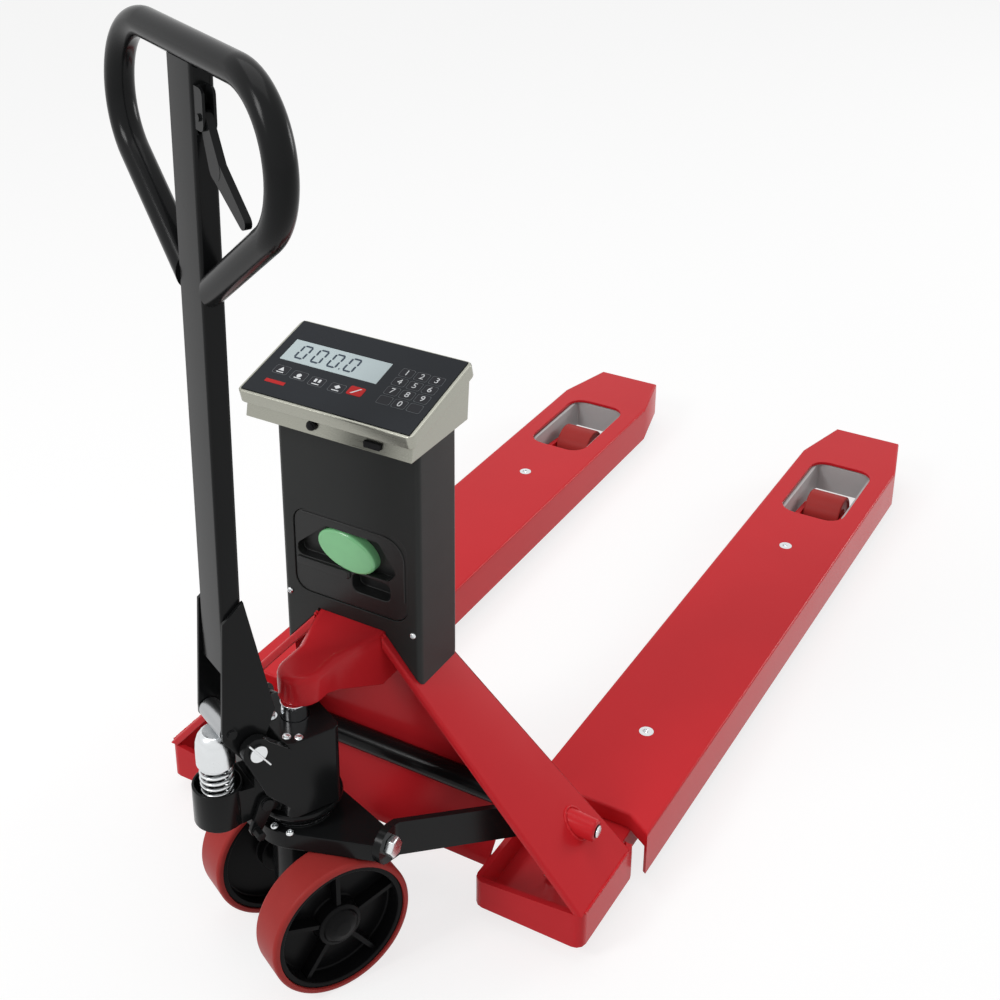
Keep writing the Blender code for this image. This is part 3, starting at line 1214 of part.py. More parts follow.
def handle_pivot_pin():
    reach = EAR_OUTER_X + GAP
    pin = cylinder("handle_pivot_pin", PIVOT_PIN_RADIUS, "X", (HANDLE_Y, HANDLE_Z),
                   -reach - PIVOT_HEAD / 2, reach + PIVOT_HEAD / 2, 20)
    heads = []
    for side in (-1, 1):
        low = min(side * reach, side * (reach + PIVOT_HEAD))
        high = low + PIVOT_HEAD
        heads.append(cylinder("head", PIVOT_HEAD_RADIUS, "X", (HANDLE_Y, HANDLE_Z), low, high, 24))
    return join(pin, *heads)


# Handle, in its own leaning frame with zero on the pivot

def cam_height():
    """Height of the cam roller's centre over the handle's pivot once the handle leans."""
    return CAM_Y * math.sin(HANDLE_LEAN) + CAM_Z * math.cos(HANDLE_LEAN)


def handle_bracket():
    """Two cheeks with a back wall and the cam roller's pin between them."""
    inner = TUBE_HALF + GAP
    outer = inner + BRACKET_PLATE
    tube_front = TUBE_OFFSET - TUBE_DEPTH / 2
    tube_back = TUBE_OFFSET + TUBE_DEPTH / 2
    lower = arc((0, 0), BRACKET_LOBE, 20, -130, 8)
    toe = CAM_Y - 2 * CAM_PIN_RADIUS
    outline = [(tube_front - 2 * GAP, BRACKET_TOP), (tube_back, BRACKET_REAR_TOP),
               (BRACKET_LOBE + BRACKET_WALL_LOW / 6, 2 * BRACKET_LOBE)]
    outline += lower + [(toe, CAM_Z - CAM_PIN_RADIUS), (toe, CAM_Z + CAM_PIN_RADIUS)]
    bracket = prism("handle_bracket", outline, "X", inner, outer)
    other = prism("other", outline, "X", -outer, -inner)
    wall = box("wall", (-outer + GAP, tube_back + GAP, BRACKET_WALL_LOW),
               (outer - GAP, tube_back + GAP + BRACKET_PLATE, BRACKET_WALL_TOP))
    pin = cylinder("pin", CAM_PIN_RADIUS, "X", (CAM_Y, CAM_Z), -outer - BRACKET_PLATE / 2,
                   outer + BRACKET_PLATE / 2, 16)
    join(bracket, other, wall, pin)
    bore = cylinder("bore", PIVOT_PIN_RADIUS + GAP, "X", (0, 0), -2 * outer, 2 * outer, 20)
    return cut(bracket, bore)


def cam_roller():
    half = CAM_WIDTH / 2
    bore = CAM_PIN_RADIUS + GAP
    return turned("cam_roller", [(bore, -half), (CAM_RADIUS, -half), (CAM_RADIUS, half), (bore, half)],
                  "X", (CAM_Y, CAM_Z), 24)


def handle_tube():
    """Flat tube from the bracket to the loop, cut slantwise at its foot and slotted for the lever."""
    top = LOOP_TOP - LOOP_RADIUS + TUBE_SADDLE
    front = TUBE_OFFSET - TUBE_DEPTH / 2
    back = TUBE_OFFSET + TUBE_DEPTH / 2
    tube = box("handle_tube", (-TUBE_HALF, front, TUBE_LOW), (TUBE_HALF, back, top))
    soften(tube, TUBE_ROUND, 2, upright)
    bore = box("bore", (TUBE_WALL - TUBE_HALF, front + TUBE_WALL, TUBE_LOW - TUBE_DEPTH),
               (TUBE_HALF - TUBE_WALL, back - TUBE_WALL, top + TUBE_DEPTH))
    slant = prism("slant", [(front - TUBE_WALL, 0), (back - TUBE_WALL, 0), (back - TUBE_WALL, TUBE_LOW),
                            (front - TUBE_WALL, TUBE_LOW + TUBE_CUT)], "X", -TUBE_WIDTH, TUBE_WIDTH)
    slot_low = CONTROL_Z - 2 * CONTROL_BAR
    slot_half = CONTROL_HALF + GAP
    slot = box("slot", (0, CONTROL_Y - slot_half, slot_low),
               (TUBE_WIDTH, CONTROL_Y + slot_half, CONTROL_Z + CONTROL_BAR))
    saddle = cylinder("saddle", LOOP_RADIUS + GAP, "X", (TUBE_OFFSET, LOOP_TOP), -TUBE_WIDTH, TUBE_WIDTH, 24)
    return cut(tube, bore, slant, slot, saddle)


def loop_line():
    """Centre line of the grip loop: foot on the tube's side, corner, shoulder, over the top and back."""
    foot = (0, LOOP_FOOT_Z - TUBE_HALF * (LOOP_CORNER_Z - LOOP_FOOT_Z) / (LOOP_CORNER_X - TUBE_HALF))
    corner = (LOOP_CORNER_X, LOOP_CORNER_Z)
    shoulder = (LOOP_SHOULDER_X, LOOP_TOP)
    top = (0, LOOP_TOP)
    run = Vector(corner) - Vector(foot)
    start = tuple(Vector(foot) + run * (TUBE_HALF / 2 / run.x))
    lower_bend = fillet(foot, corner, shoulder, LOOP_CORNER_ROUND, 7)
    upper_bend = fillet(corner, shoulder, top, LOOP_SHOULDER_ROUND, 8)
    right = [start] + lower_bend + upper_bend
    return right + [(-x, z) for x, z in reversed(right)]


def handle_loop():
    """Grip loop bent from one tube, its two ends flush on the sides of the handle tube."""
    points = [(x, TUBE_OFFSET, z) for x, z in loop_line()]
    loop = swept("handle_loop", points, LOOP_RADIUS, LOOP_SIDES // 2 - 2)
    reach = TUBE_HALF + GAP
    room = box("room", (-reach, TUBE_OFFSET - TUBE_WIDTH, 0),
               (reach, TUBE_OFFSET + TUBE_WIDTH, LOOP_CORNER_Z))
    return cut(loop, room)


def control_bracket():
    """Clevis on the side of the tube that holds the release lever's pin."""
    back = TUBE_HALF + GAP
    cheek = CONTROL_HALF + GAP
    outer = cheek + CLEVIS_CHEEK
    end = CONTROL_X + CLEVIS_REACH
    clevis = box("control_bracket", (back, CONTROL_Y - outer, CLEVIS_LOW),
                 (end, CONTROL_Y + outer, CLEVIS_TOP))
    soften(clevis, CLEVIS_REACH * 0.8, 3, lambda a, b: min(a.x, b.x) > end - 1e-5 and abs(a.z - b.z) < 1e-5)
    slot = box("slot", (back + CLEVIS_BACK, CONTROL_Y - cheek, CLEVIS_LOW - CLEVIS_BACK),
               (2 * end, CONTROL_Y + cheek, CLEVIS_TOP + CLEVIS_BACK))
    pass_low = CONTROL_Z - 2 * CONTROL_BAR
    passage = box("passage", (0, CONTROL_Y - cheek - GAP, pass_low),
                  (back + 2 * CLEVIS_BACK, CONTROL_Y + cheek + GAP, CONTROL_Z + CONTROL_BAR))
    cut(clevis, slot, passage)
    pin = cylinder("pin", CONTROL_PIN_RADIUS, "Y", (CONTROL_X, CONTROL_Z),
                   CONTROL_Y - outer - CLEVIS_BACK / 2,
                   CONTROL_Y + outer + CLEVIS_BACK / 2, 14)
    return join(clevis, pin)


def control_lever():
    """Finger lever with a broad blade, and a tail that reaches into the tube over the release rod."""
    low = CONTROL_Y - CONTROL_HALF
    high = CONTROL_Y + CONTROL_HALF
    half = CONTROL_BAR / 2
    pivot = (CONTROL_X, CONTROL_Z)
    knee = (CONTROL_KNEE_X, CONTROL_KNEE_Z)
    upper = lobe(pivot, knee, half + SWING_ROOM, CONTROL_KNEE_RADIUS)
    finger = lobe(knee, (CONTROL_TIP_X, CONTROL_TIP_Z), CONTROL_KNEE_RADIUS - GAP, CONTROL_TIP_RADIUS)
    lever = prism("control_lever", upper, "Y", low, high)
    tail = rectangle(CONTROL_TAIL_X, CONTROL_Z - half, CONTROL_X, CONTROL_Z + half)
    join(lever, prism("finger", finger, "Y", low + GAP, high - GAP),
         prism("tail", tail, "Y", low + GAP, high - GAP))
    return cut(lever, cylinder("bore", CONTROL_PIN_RADIUS + GAP, "Y", pivot, low - half, high + half, 14))


def release_rod():
    """Rod inside the tube, with a domed top for the lever's tail to push."""
    top = CONTROL_Z - CONTROL_BAR / 2 - GAP
    low = top - RELEASE_ROD_LENGTH
    profile = [(0, low), (RELEASE_ROD_RADIUS, low), (RELEASE_ROD_RADIUS, top - RELEASE_ROD_RADIUS * 0.6),
               (RELEASE_ROD_RADIUS * 0.8, top - RELEASE_ROD_RADIUS / 4), (0, top)]
    return turned("release_rod", profile, "Z", (RELEASE_ROD_X, CONTROL_Y), 10)


# Putting the truck together

def both_sides(piece, finish, right_joint, left_joint):
    """Hang a right-hand piece and its mirror copy on the joints of their sides."""
    other = mirrored(piece, piece.name.replace("right", "left"))
    mount(piece, finish, right_joint)
    mount(other, finish, left_joint)


def build_chassis(truck):
    chassis = joint("chassis_lift", truck, (0, 0, 0))
    for piece, finish in ((fork_cover(), "red_paint"), (fork_beam(), "beam_grey"), (base(), "red_paint"),
                          (leg(), "red_paint"), (shaft_boss(), "red_paint"), (lever_pin(), "steel"),
                          (load_cell("load_cell_right_front", CELL_BOLT_ROOT_Y, 1), "zinc"),
                          (load_cell("load_cell_right_rear", CELL_BOLT_TIP_Y, -1), "zinc")):
        both_sides(piece, finish, chassis, chassis)
    for piece, finish in ((head(), "red_paint"), (back_panel(), "red_paint"), (lift_ram(), "chrome"),
                          (column(), "black_paint"), (indicator_body(), "stainless"),
                          (indicator_bezel(), "stainless"),
                          (keypad_panel(), "keypad"), (display(), "display_glass")):
        mount(piece, finish, chassis)
    drawer = joint("battery_slide", chassis, (0, COLUMN_FRONT_Y, BATTERY_LOW + BATTERY_HEIGHT / 2))
    mount(battery(), "battery_plastic", drawer)
    return chassis


def build_linkage(chassis):
    rocker = joint("rocker", chassis, (0, SHAFT_Y, SHAFT_Z))
    mount(rocker_shaft(), "black_paint", rocker)
    both_sides(rocker_arm(), "black_paint", rocker, rocker)
    both_sides(yoke_bolt(), "zinc", rocker, rocker)
    rods = []
    levers = []
    rollers = []
    for side, sign in (("right", 1), ("left", -1)):
        rods.append(joint("push_rod_slide_" + side, chassis, (sign * ROD_X, CRANK_PIN_Y, CRANK_PIN_Z)))
        levers.append(joint("roller_lever_hinge_" + side, chassis,
                            (sign * FORK_X, LEVER_PIVOT_Y, LEVER_PIVOT_Z)))
        rollers.append(joint("load_roller_spin_" + side, levers[-1],
                             (sign * FORK_X, ROLLER_Y, ROLLER_RADIUS)))
    both_sides(push_rod(), "steel", *rods)
    both_sides(roller_lever(), "red_paint", *levers)
    both_sides(roller_axle(), "zinc", *levers)
    both_sides(load_roller(), "tread", *rollers)


def build_pump(truck):
    steer = frame_at_origin("steer", truck, (0, 0, STEER_ANGLE))
    for piece, finish in ((pump_body(), "black_paint"), (axle_carrier(), "black_paint"),
                          (wheel_axle(), "steel"),
                          (plunger_spring(), "zinc"), (handle_pivot_pin(), "zinc")):
        mount(piece, finish, steer)
    mount(plunger(), "zinc", joint("plunger_slide", steer, (0, PLUNGER_Y, CAP_LOW + CAP_SIDE)))
    valve = joint("lowering_hinge", steer, (0, LOWERING_PIVOT_Y, LOWERING_PIVOT_Z))
    mount(lowering_lever(), "black_paint", valve)
    middle = WHEEL_OUTER_X - WHEEL_WIDTH / 2
    wheels = []
    for side, sign in (("right", 1), ("left", -1)):
        wheels.append(joint("wheel_spin_" + side, steer, (sign * middle, 0, AXLE_Z)))
    both_sides(steer_tread(), "tread", *wheels)
    both_sides(steer_hub(), "hub_plastic", *wheels)
    return steer


def build_handle(steer):
    handle = joint("handle_tilt", steer, (0, HANDLE_Y, HANDLE_Z))
    lean = frame_at_origin("handle_lean", handle, (HANDLE_LEAN, 0, 0))
    for piece, finish in ((handle_bracket(), "black_paint"), (handle_tube(), "black_paint"),
                          (handle_loop(), "black_paint"), (control_bracket(), "black_paint")):
        mount(piece, finish, lean)
    mount(cam_roller(), "steel", joint("cam_spin", lean, (0, CAM_Y, CAM_Z)))
    mount(control_lever(), "black_paint", joint("control_hinge", lean, (CONTROL_X, CONTROL_Y, CONTROL_Z)))
    mount(release_rod(), "steel", joint("release_slide", lean, (RELEASE_ROD_X, CONTROL_Y, CONTROL_Z)))


def centre_on_box(truck):
    """Move the truck so that the origin lies under the middle of its bounding box."""
    bpy.context.view_layer.update()
    corners = []
    for obj in bpy.data.objects:
        if obj.type == "MESH":
            corners += [obj.matrix_world @ v.co for v in obj.data.vertices]
    middle = [(min(c[i] for c in corners) + max(c[i] for c in corners)) / 2 for i in range(2)]
    truck.location = (-middle[0], -middle[1], -min(c.z for c in corners))
    bpy.context.view_layer.update()


def print_joints():
    """Print each joint's place and the motions that follow from the sizes."""
    for name in JOINT_SPOTS:
        place = bpy.data.objects[name].matrix_world
        print("%s at %s" % (name, [round(c, 5) for c in place.translation]))
    lean = bpy.data.objects["handle_lean"].matrix_world.to_3x3()
    print("handle axes", [[round(c, 6) for c in lean.col[i]] for i in range(3)])
    turns = (math.degrees(ARM_SWING), ROD_STROKE, math.degrees(LEVER_SWING))
    print("rocker %.3f deg, push rod %.5f m, lever %.3f deg" % turns)


def main():
    for obj in list(bpy.data.objects):
        bpy.data.objects.remove(obj)
    make_materials()
    truck = joint("truck", None, (0, 0, 0))
    mount(pump_yoke(), "black_paint", truck)
    mount(thrust_bearing(), "steel", truck)
    build_linkage(build_chassis(truck))
    build_handle(build_pump(truck))
    centre_on_box(truck)
    print_joints()


main()
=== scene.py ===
"""Hand pallet truck with a built-in scale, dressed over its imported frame."""

import json
import math

import bmesh
import bpy
from mathutils import Matrix, Vector

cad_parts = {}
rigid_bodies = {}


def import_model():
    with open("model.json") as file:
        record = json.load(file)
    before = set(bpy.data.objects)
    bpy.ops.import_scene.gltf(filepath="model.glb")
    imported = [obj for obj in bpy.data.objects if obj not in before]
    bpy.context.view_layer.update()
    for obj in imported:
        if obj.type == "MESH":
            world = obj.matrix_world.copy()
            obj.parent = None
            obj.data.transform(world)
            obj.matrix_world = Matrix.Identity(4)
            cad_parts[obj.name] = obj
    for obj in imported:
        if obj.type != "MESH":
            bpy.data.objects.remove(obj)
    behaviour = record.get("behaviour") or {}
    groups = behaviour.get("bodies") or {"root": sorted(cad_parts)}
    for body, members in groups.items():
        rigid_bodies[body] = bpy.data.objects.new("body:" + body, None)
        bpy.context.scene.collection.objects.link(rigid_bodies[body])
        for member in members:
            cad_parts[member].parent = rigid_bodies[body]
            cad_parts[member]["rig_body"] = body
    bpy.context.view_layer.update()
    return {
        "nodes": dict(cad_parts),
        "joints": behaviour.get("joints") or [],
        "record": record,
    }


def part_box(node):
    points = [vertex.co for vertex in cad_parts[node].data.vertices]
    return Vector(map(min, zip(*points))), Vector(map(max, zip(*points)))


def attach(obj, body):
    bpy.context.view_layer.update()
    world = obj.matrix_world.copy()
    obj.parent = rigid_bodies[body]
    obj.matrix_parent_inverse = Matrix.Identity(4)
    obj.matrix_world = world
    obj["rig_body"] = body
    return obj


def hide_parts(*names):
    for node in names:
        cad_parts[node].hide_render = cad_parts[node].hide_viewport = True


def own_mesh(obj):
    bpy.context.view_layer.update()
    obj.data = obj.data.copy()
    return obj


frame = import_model()

bl_info = {
    "name": "Weighing pallet truck",
    "version": (1, 0, 0),
    "blender": (4, 5, 0),
    "location": "View3D > Sidebar > Truck",
    "description": "Dresses the packed truck with rounded edges, fittings and finishes",
    "category": "Object",
}

# Directions and places that the frame's joints give

JOINTS = {joint["name"]: joint for joint in frame["joints"]}
SLOTS = {part["node"]: part["material_slot"] for part in frame["record"]["subparts"]}
UP = Vector((0, 0, 1))
STEER = Vector((0, JOINTS["steer"]["pos_m"][1], 0))
SIDEWAYS = Vector(JOINTS["handle_tilt"]["axis"]).normalized()
AHEAD = UP.cross(SIDEWAYS)
PIVOT = Vector(JOINTS["handle_tilt"]["pos_m"])
LEAN_Y = -Vector(JOINTS["control_hinge"]["axis"]).normalized()
LEAN_Z = SIDEWAYS.cross(LEAN_Y)
FACE_TILT = math.radians(15.3)
FACE_FRONT = Vector((0, 0.078, 0.722))
AXLE_Z = JOINTS["wheel_spin_right"]["pos_m"][2]


def axes(x, y, z, place):
    """Matrix whose columns are three directions and a place."""
    made = Matrix((x, y, z)).transposed().to_4x4()
    made.translation = place
    return made


TRUCK = Matrix.Translation(STEER)
STEERED = axes(SIDEWAYS, AHEAD, UP, STEER)
HANDLE = axes(SIDEWAYS, LEAN_Y, LEAN_Z, PIVOT)
FACE = axes(Vector((1, 0, 0)), Vector((0, math.cos(FACE_TILT), math.sin(FACE_TILT))),
            Vector((0, -math.sin(FACE_TILT), math.cos(FACE_TILT))), STEER + FACE_FRONT)


# Sizes and colours

def length(label, default, about):
    return bpy.props.FloatProperty(name=label, description=about, default=default, min=0.0, unit="LENGTH",
                                   precision=4)


def colour(label, default, about):
    return bpy.props.FloatVectorProperty(name=label, description=about, default=default, size=3, min=0.0,
                                         max=1.0, subtype="COLOR")


class TruckSizes(bpy.types.PropertyGroup):
    sheet_round: length("Sheet edges", 0.0012, "Rounding of the folded sheet's edges")
    plate_round: length("Plate edges", 0.0016, "Rounding of the welded plates' edges")
    fine_round: length("Fine edges", 0.0006, "Rounding of pins, bolts and small fittings")
    moulded_round: length("Moulded edges", 0.0012, "Rounding of the battery's and pump body's edges")
    lever_round: length("Lever edges", 0.0010, "Rounding of the release lever's edges")
    case_round: length("Case edges", 0.0008, "Rounding of the column's and indicator's edges")
    film_round: length("Film edges", 0.0003, "Rounding of the keypad sheet and display")
    weld_radius: length("Weld bead", 0.0022, "Radius of the weld beads")
    key_pitch_x: length("Key pitch across", 0.0205, "Distance between the keypad's columns")
    key_pitch_y: length("Key pitch along", 0.0170, "Distance between the keypad's rows")
    digit_height: length("Key digits", 0.0088, "Height of the digits on the keys")
    segment_height: length("Display digits", 0.0230, "Height of the digits in the display")
    screw_radius: length("Column screws", 0.0042, "Head radius of the column's screws")
    loop_radius: length("Loop tube", 0.0164, "Radius of the grip loop's tube")
    wire_radius: length("Spring wire", 0.0020, "Radius of the plunger spring's wire")


class TruckColours(bpy.types.PropertyGroup):
    red: colour("Red paint", (0.68, 0.024, 0.032), "Gloss paint of the forks and frame")
    black: colour("Black paint", (0.010, 0.0105, 0.011), "Paint of the pump, handle and linkage")
    column: colour("Column paint", (0.019, 0.0205, 0.020), "Fine-textured paint of the column")
    beam: colour("Beam grey", (0.56, 0.57, 0.57), "Paint of the beams round the rollers")
    zinc: colour("Zinc", (0.74, 0.76, 0.77), "Plated bolts, pins and spring")
    steel: colour("Bare steel", (0.45, 0.46, 0.47), "Rods, axles and bearing")
    chrome: colour("Chrome", (0.84, 0.85, 0.87), "Plating of the ram")
    stainless: colour("Stainless", (0.37, 0.37, 0.32), "Indicator case")
    sheet: colour("Keypad sheet", (0.016, 0.019, 0.024), "Printed sheet over the keys")
    key: colour("Keys", (0.020, 0.021, 0.026), "Raised face of each key")
    key_line: colour("Key outlines", (0.13, 0.14, 0.15), "Printed line round each key")
    glass: colour("Display", (0.52, 0.62, 0.64), "Display window")
    ink: colour("Display digits", (0.05, 0.07, 0.10), "Segments of the display")
    battery: colour("Battery", (0.014, 0.0145, 0.0145), "Moulded case of the battery")
    label: colour("Battery label", (0.27, 0.72, 0.33), "Plain oval on the battery")
    tread: colour("Tread", (0.42, 0.040, 0.036), "Polyurethane of the wheels and rollers")
    hub: colour("Hub", (0.007, 0.007, 0.0075), "Moulded hubs of the steering wheels")
    rubber: colour("Rubber", (0.012, 0.012, 0.013), "Cable gland and plug")
    print_white: colour("White print", (0.80, 0.82, 0.84), "Digits and signs on the keys")
    print_red: colour("Red print", (0.55, 0.02, 0.02), "The red key")


def sizes():
    return bpy.context.scene.truck_sizes


def colours():
    return bpy.context.scene.truck_colours


# Shader groups

def once(maker):
    """Function whose result is made once for each set of arguments."""
    made = {}

    def give(*key):
        if key not in made:
            made[key] = maker(*key)
        return made[key]
    return give


def new_nodes(tree, *kinds):
    return [tree.nodes.new(kind) for kind in kinds]


def wired(tree, *links):
    """Join sockets, each link given as a node, its output, a node and its input."""
    for source, output, target, socket in links:
        tree.links.new(source.outputs[output], target.inputs[socket])


def socket_list(group, where, entries):
    for label, kind, default in entries:
        made = group.interface.new_socket(label, in_out=where, socket_type="NodeSocket" + kind)
        if default is not None:
            made.default_value = default


def shader_group(name, inputs, outputs):
    group = bpy.data.node_groups.new(name, "ShaderNodeTree")
    socket_list(group, "INPUT", inputs)
    socket_list(group, "OUTPUT", outputs)
    return group, *new_nodes(group, "NodeGroupInput", "NodeGroupOutput")


def noise(group, coordinates, scale, detail):
    made = group.nodes.new("ShaderNodeTexNoise")
    made.inputs["Detail"].default_value = detail
    group.links.new(coordinates, made.inputs["Vector"])
    if isinstance(scale, (int, float)):
        made.inputs["Scale"].default_value = scale
    else:
        group.links.new(scale, made.inputs["Scale"])
    return made.outputs["Fac"]


def maths(group, operation, one, two):
    made = group.nodes.new("ShaderNodeMath")
    made.operation = operation
    for place, value in enumerate((one, two)):
        if isinstance(value, (int, float)):
            made.inputs[place].default_value = value
        else:
            group.links.new(value, made.inputs[place])
    return made.outputs[0]


@once
def surface_tone():
    """Colour that drifts slowly over a piece and has a fine speckle."""
    group, start, end = shader_group(
        "surface_tone",
        [("Colour", "Color", None), ("Drift", "Float", 0.06), ("Speckle", "Float", 0.03),
         ("Patch Scale", "Float", 6.0), ("Speckle Scale", "Float", 700.0)],
        [("Colour", "Color", None)])
    place = group.nodes.new("ShaderNodeTexCoord").outputs["Object"]
    patch = noise(group, place, start.outputs["Patch Scale"], 3.0)
    speckle = noise(group, place, start.outputs["Speckle Scale"], 1.0)
    drift = maths(group, "MULTIPLY", maths(group, "SUBTRACT", patch, 0.5), start.outputs["Drift"])
    grain = maths(group, "MULTIPLY", maths(group, "SUBTRACT", speckle, 0.5), start.outputs["Speckle"])
    level = maths(group, "ADD", maths(group, "ADD", drift, grain), 1.0)
    scaled = group.nodes.new("ShaderNodeVectorMath")
    scaled.operation = "SCALE"
    group.links.new(start.outputs["Colour"], scaled.inputs[0])
    group.links.new(level, scaled.inputs["Scale"])
    group.links.new(scaled.outputs[0], end.inputs["Colour"])
    return group


@once
def fine_relief():
    """Height and gloss of a painted or moulded skin: a soft ripple and a fine grain."""
    group, start, end = shader_group(
        "fine_relief",
        [("Ripple Scale", "Float", 260.0), ("Grain Scale", "Float", 1400.0), ("Grain", "Float", 0.3),
         ("Gloss Low", "Float", 0.25), ("Gloss High", "Float", 0.35)],
        [("Height", "Float", None), ("Roughness", "Float", None)])
    place = group.nodes.new("ShaderNodeTexCoord").outputs["Object"]
    ripple = noise(group, place, start.outputs["Ripple Scale"], 2.0)
    grain = noise(group, place, start.outputs["Grain Scale"], 1.0)
    height = maths(group, "ADD", ripple, maths(group, "MULTIPLY", grain, start.outputs["Grain"]))
    patch = noise(group, place, 14.0, 4.0)
    spread = maths(group, "SUBTRACT", start.outputs["Gloss High"], start.outputs["Gloss Low"])
    gloss = maths(group, "ADD", maths(group, "MULTIPLY", patch, spread), start.outputs["Gloss Low"])
    group.links.new(height, end.inputs["Height"])
    group.links.new(gloss, end.inputs["Roughness"])
    return group


@once
def brush_lines():
    """Fine parallel scratches of brushed or drawn metal."""
    group, start, end = shader_group(
        "brush_lines",
        [("Stretch", "Vector", (1.0, 40.0, 40.0)), ("Scale", "Float", 60.0), ("Gloss Low", "Float", 0.2),
         ("Gloss High", "Float", 0.4)],
        [("Height", "Float", None), ("Roughness", "Float", None)])
    place = group.nodes.new("ShaderNodeTexCoord").outputs["Object"]
    pulled = group.nodes.new("ShaderNodeVectorMath")
    pulled.operation = "MULTIPLY"
    group.links.new(place, pulled.inputs[0])
    group.links.new(start.outputs["Stretch"], pulled.inputs[1])
    lines = noise(group, pulled.outputs[0], start.outputs["Scale"], 2.0)
    spread = maths(group, "SUBTRACT", start.outputs["Gloss High"], start.outputs["Gloss Low"])
    gloss = maths(group, "ADD", maths(group, "MULTIPLY", lines, spread), start.outputs["Gloss Low"])
    group.links.new(lines, end.inputs["Height"])
    group.links.new(gloss, end.inputs["Roughness"])
    return group


# Finishes

def tone(drift, speckle, patch=6.0, fine=700.0):
    return {"Drift": drift, "Speckle": speckle, "Patch Scale": patch, "Speckle Scale": fine}


def skin(ripple, grain, share, low, high):
    return {"Ripple Scale": ripple, "Grain Scale": grain, "Grain": share, "Gloss Low": low, "Gloss High": high}


def brushed(stretch, scale, low, high):
    return {"Stretch": stretch, "Scale": scale, "Gloss Low": low, "Gloss High": high}


PRINT_TONE = tone(0.08, 0.08, 12.0, 1500.0)
PRINT_SKIN = skin(300.0, 2600.0, 0.8, 0.24, 0.34)
SOFT = {"Specular IOR Level": 0.12}
METAL = {"Metallic": 1.0}

# Name: colour, its drift, relief group, the relief's values, bump strength, shader values
FINISHES = {
    "red_paint": ("red", tone(0.12, 0.05), fine_relief, skin(240.0, 1100.0, 0.2, 0.16, 0.26), 0.10,
                  {"Specular IOR Level": 0.11}),
    "black_paint": ("black", tone(0.15, 0.08), fine_relief, skin(260.0, 1300.0, 0.3, 0.14, 0.24), 0.10, SOFT),
    "column_paint": ("column", tone(0.12, 0.12, 5.0, 900.0), fine_relief, skin(700.0, 1800.0, 0.8, 0.42, 0.54),
                     0.3, {"Specular IOR Level": 0.25}),
    "beam_grey": ("beam", tone(0.12, 0.05), fine_relief, skin(240.0, 1100.0, 0.2, 0.40, 0.50), 0.15, SOFT),
    "zinc": ("zinc", tone(0.10, 0.06, 60.0, 900.0), brush_lines, brushed((6.0, 6.0, 18.0), 90.0, 0.18, 0.32),
             0.08, METAL),
    "steel": ("steel", tone(0.14, 0.06, 30.0, 900.0), brush_lines, brushed((30.0, 2.0, 30.0), 60.0, 0.24, 0.40),
              0.10, METAL),
    "chrome": ("chrome", tone(0.03, 0.02), brush_lines, brushed((8.0, 8.0, 40.0), 90.0, 0.05, 0.10), 0.02, METAL),
    "stainless": ("stainless", tone(0.05, 0.04), brush_lines, brushed((1.5, 60.0, 60.0), 22.0, 0.22, 0.36), 0.05,
                  METAL),
    "display_glass": ("glass", PRINT_TONE, fine_relief, skin(40.0, 400.0, 0.1, 0.06, 0.10), 0.02,
                      {"Coat Weight": 0.4, "Coat Roughness": 0.03}),
    "display_ink": ("ink", PRINT_TONE, fine_relief, PRINT_SKIN, 0.02, SOFT),
    "battery_plastic": ("battery", tone(0.12, 0.15, 6.0, 1200.0), fine_relief,
                        skin(900.0, 2200.0, 0.9, 0.36, 0.48), 0.3, {"Specular IOR Level": 0.35}),
    "label_green": ("label", tone(0.25, 0.04, 30.0, 1500.0), fine_relief, skin(120.0, 2000.0, 0.3, 0.16, 0.24), 0.1,
                    {"Coat Weight": 0.3}),
    "tread": ("tread", tone(0.16, 0.12, 20.0, 900.0), fine_relief, skin(180.0, 1300.0, 0.5, 0.34, 0.48), 0.2, SOFT),
    "hub_plastic": ("hub", tone(0.14, 0.12, 12.0, 1200.0), fine_relief, skin(500.0, 1800.0, 0.6, 0.24, 0.36), 0.2,
                    {"Specular IOR Level": 0.06}),
    "dark_rubber": ("rubber", tone(0.14, 0.12, 12.0, 1200.0), fine_relief, skin(500.0, 1800.0, 0.6, 0.48, 0.60),
                    0.2, SOFT),
}
for printed, shade in (("keypad", "sheet"), ("key_skin", "key"), ("key_outline", "key_line"),
                       ("white_print", "print_white"), ("red_print", "print_red")):
    FINISHES[printed] = (shade, PRINT_TONE, fine_relief, PRINT_SKIN, 0.05, SOFT)
BUMP_DEPTH = 0.0002


def placed_group(tree, group, values):
    node = tree.nodes.new("ShaderNodeGroup")
    node.node_tree = group
    for label, value in values.items():
        node.inputs[label].default_value = value
    return node


@once
def finish(name):
    """Material of a finish in the table: a drifting colour with its own relief and gloss."""
    base, drift, relief, values, strength, shader_values = FINISHES[name]
    made = bpy.data.materials.new(name + "_finish")
    made.use_nodes = True
    tree = made.node_tree
    shader = tree.nodes["Principled BSDF"]
    for label, value in shader_values.items():
        shader.inputs[label].default_value = value
    drifting = placed_group(tree, surface_tone(), dict(drift, Colour=(*getattr(colours(), base), 1)))
    ground = placed_group(tree, relief(), values)
    bump = tree.nodes.new("ShaderNodeBump")
    bump.inputs["Strength"].default_value = strength
    bump.inputs["Distance"].default_value = BUMP_DEPTH
    wired(tree, (drifting, "Colour", shader, "Base Color"), (ground, "Roughness", shader, "Roughness"),
          (ground, "Height", bump, "Height"), (bump, "Normal", shader, "Normal"))
    if name == "beam_grey":
        red_root(tree, drifting)
    return made


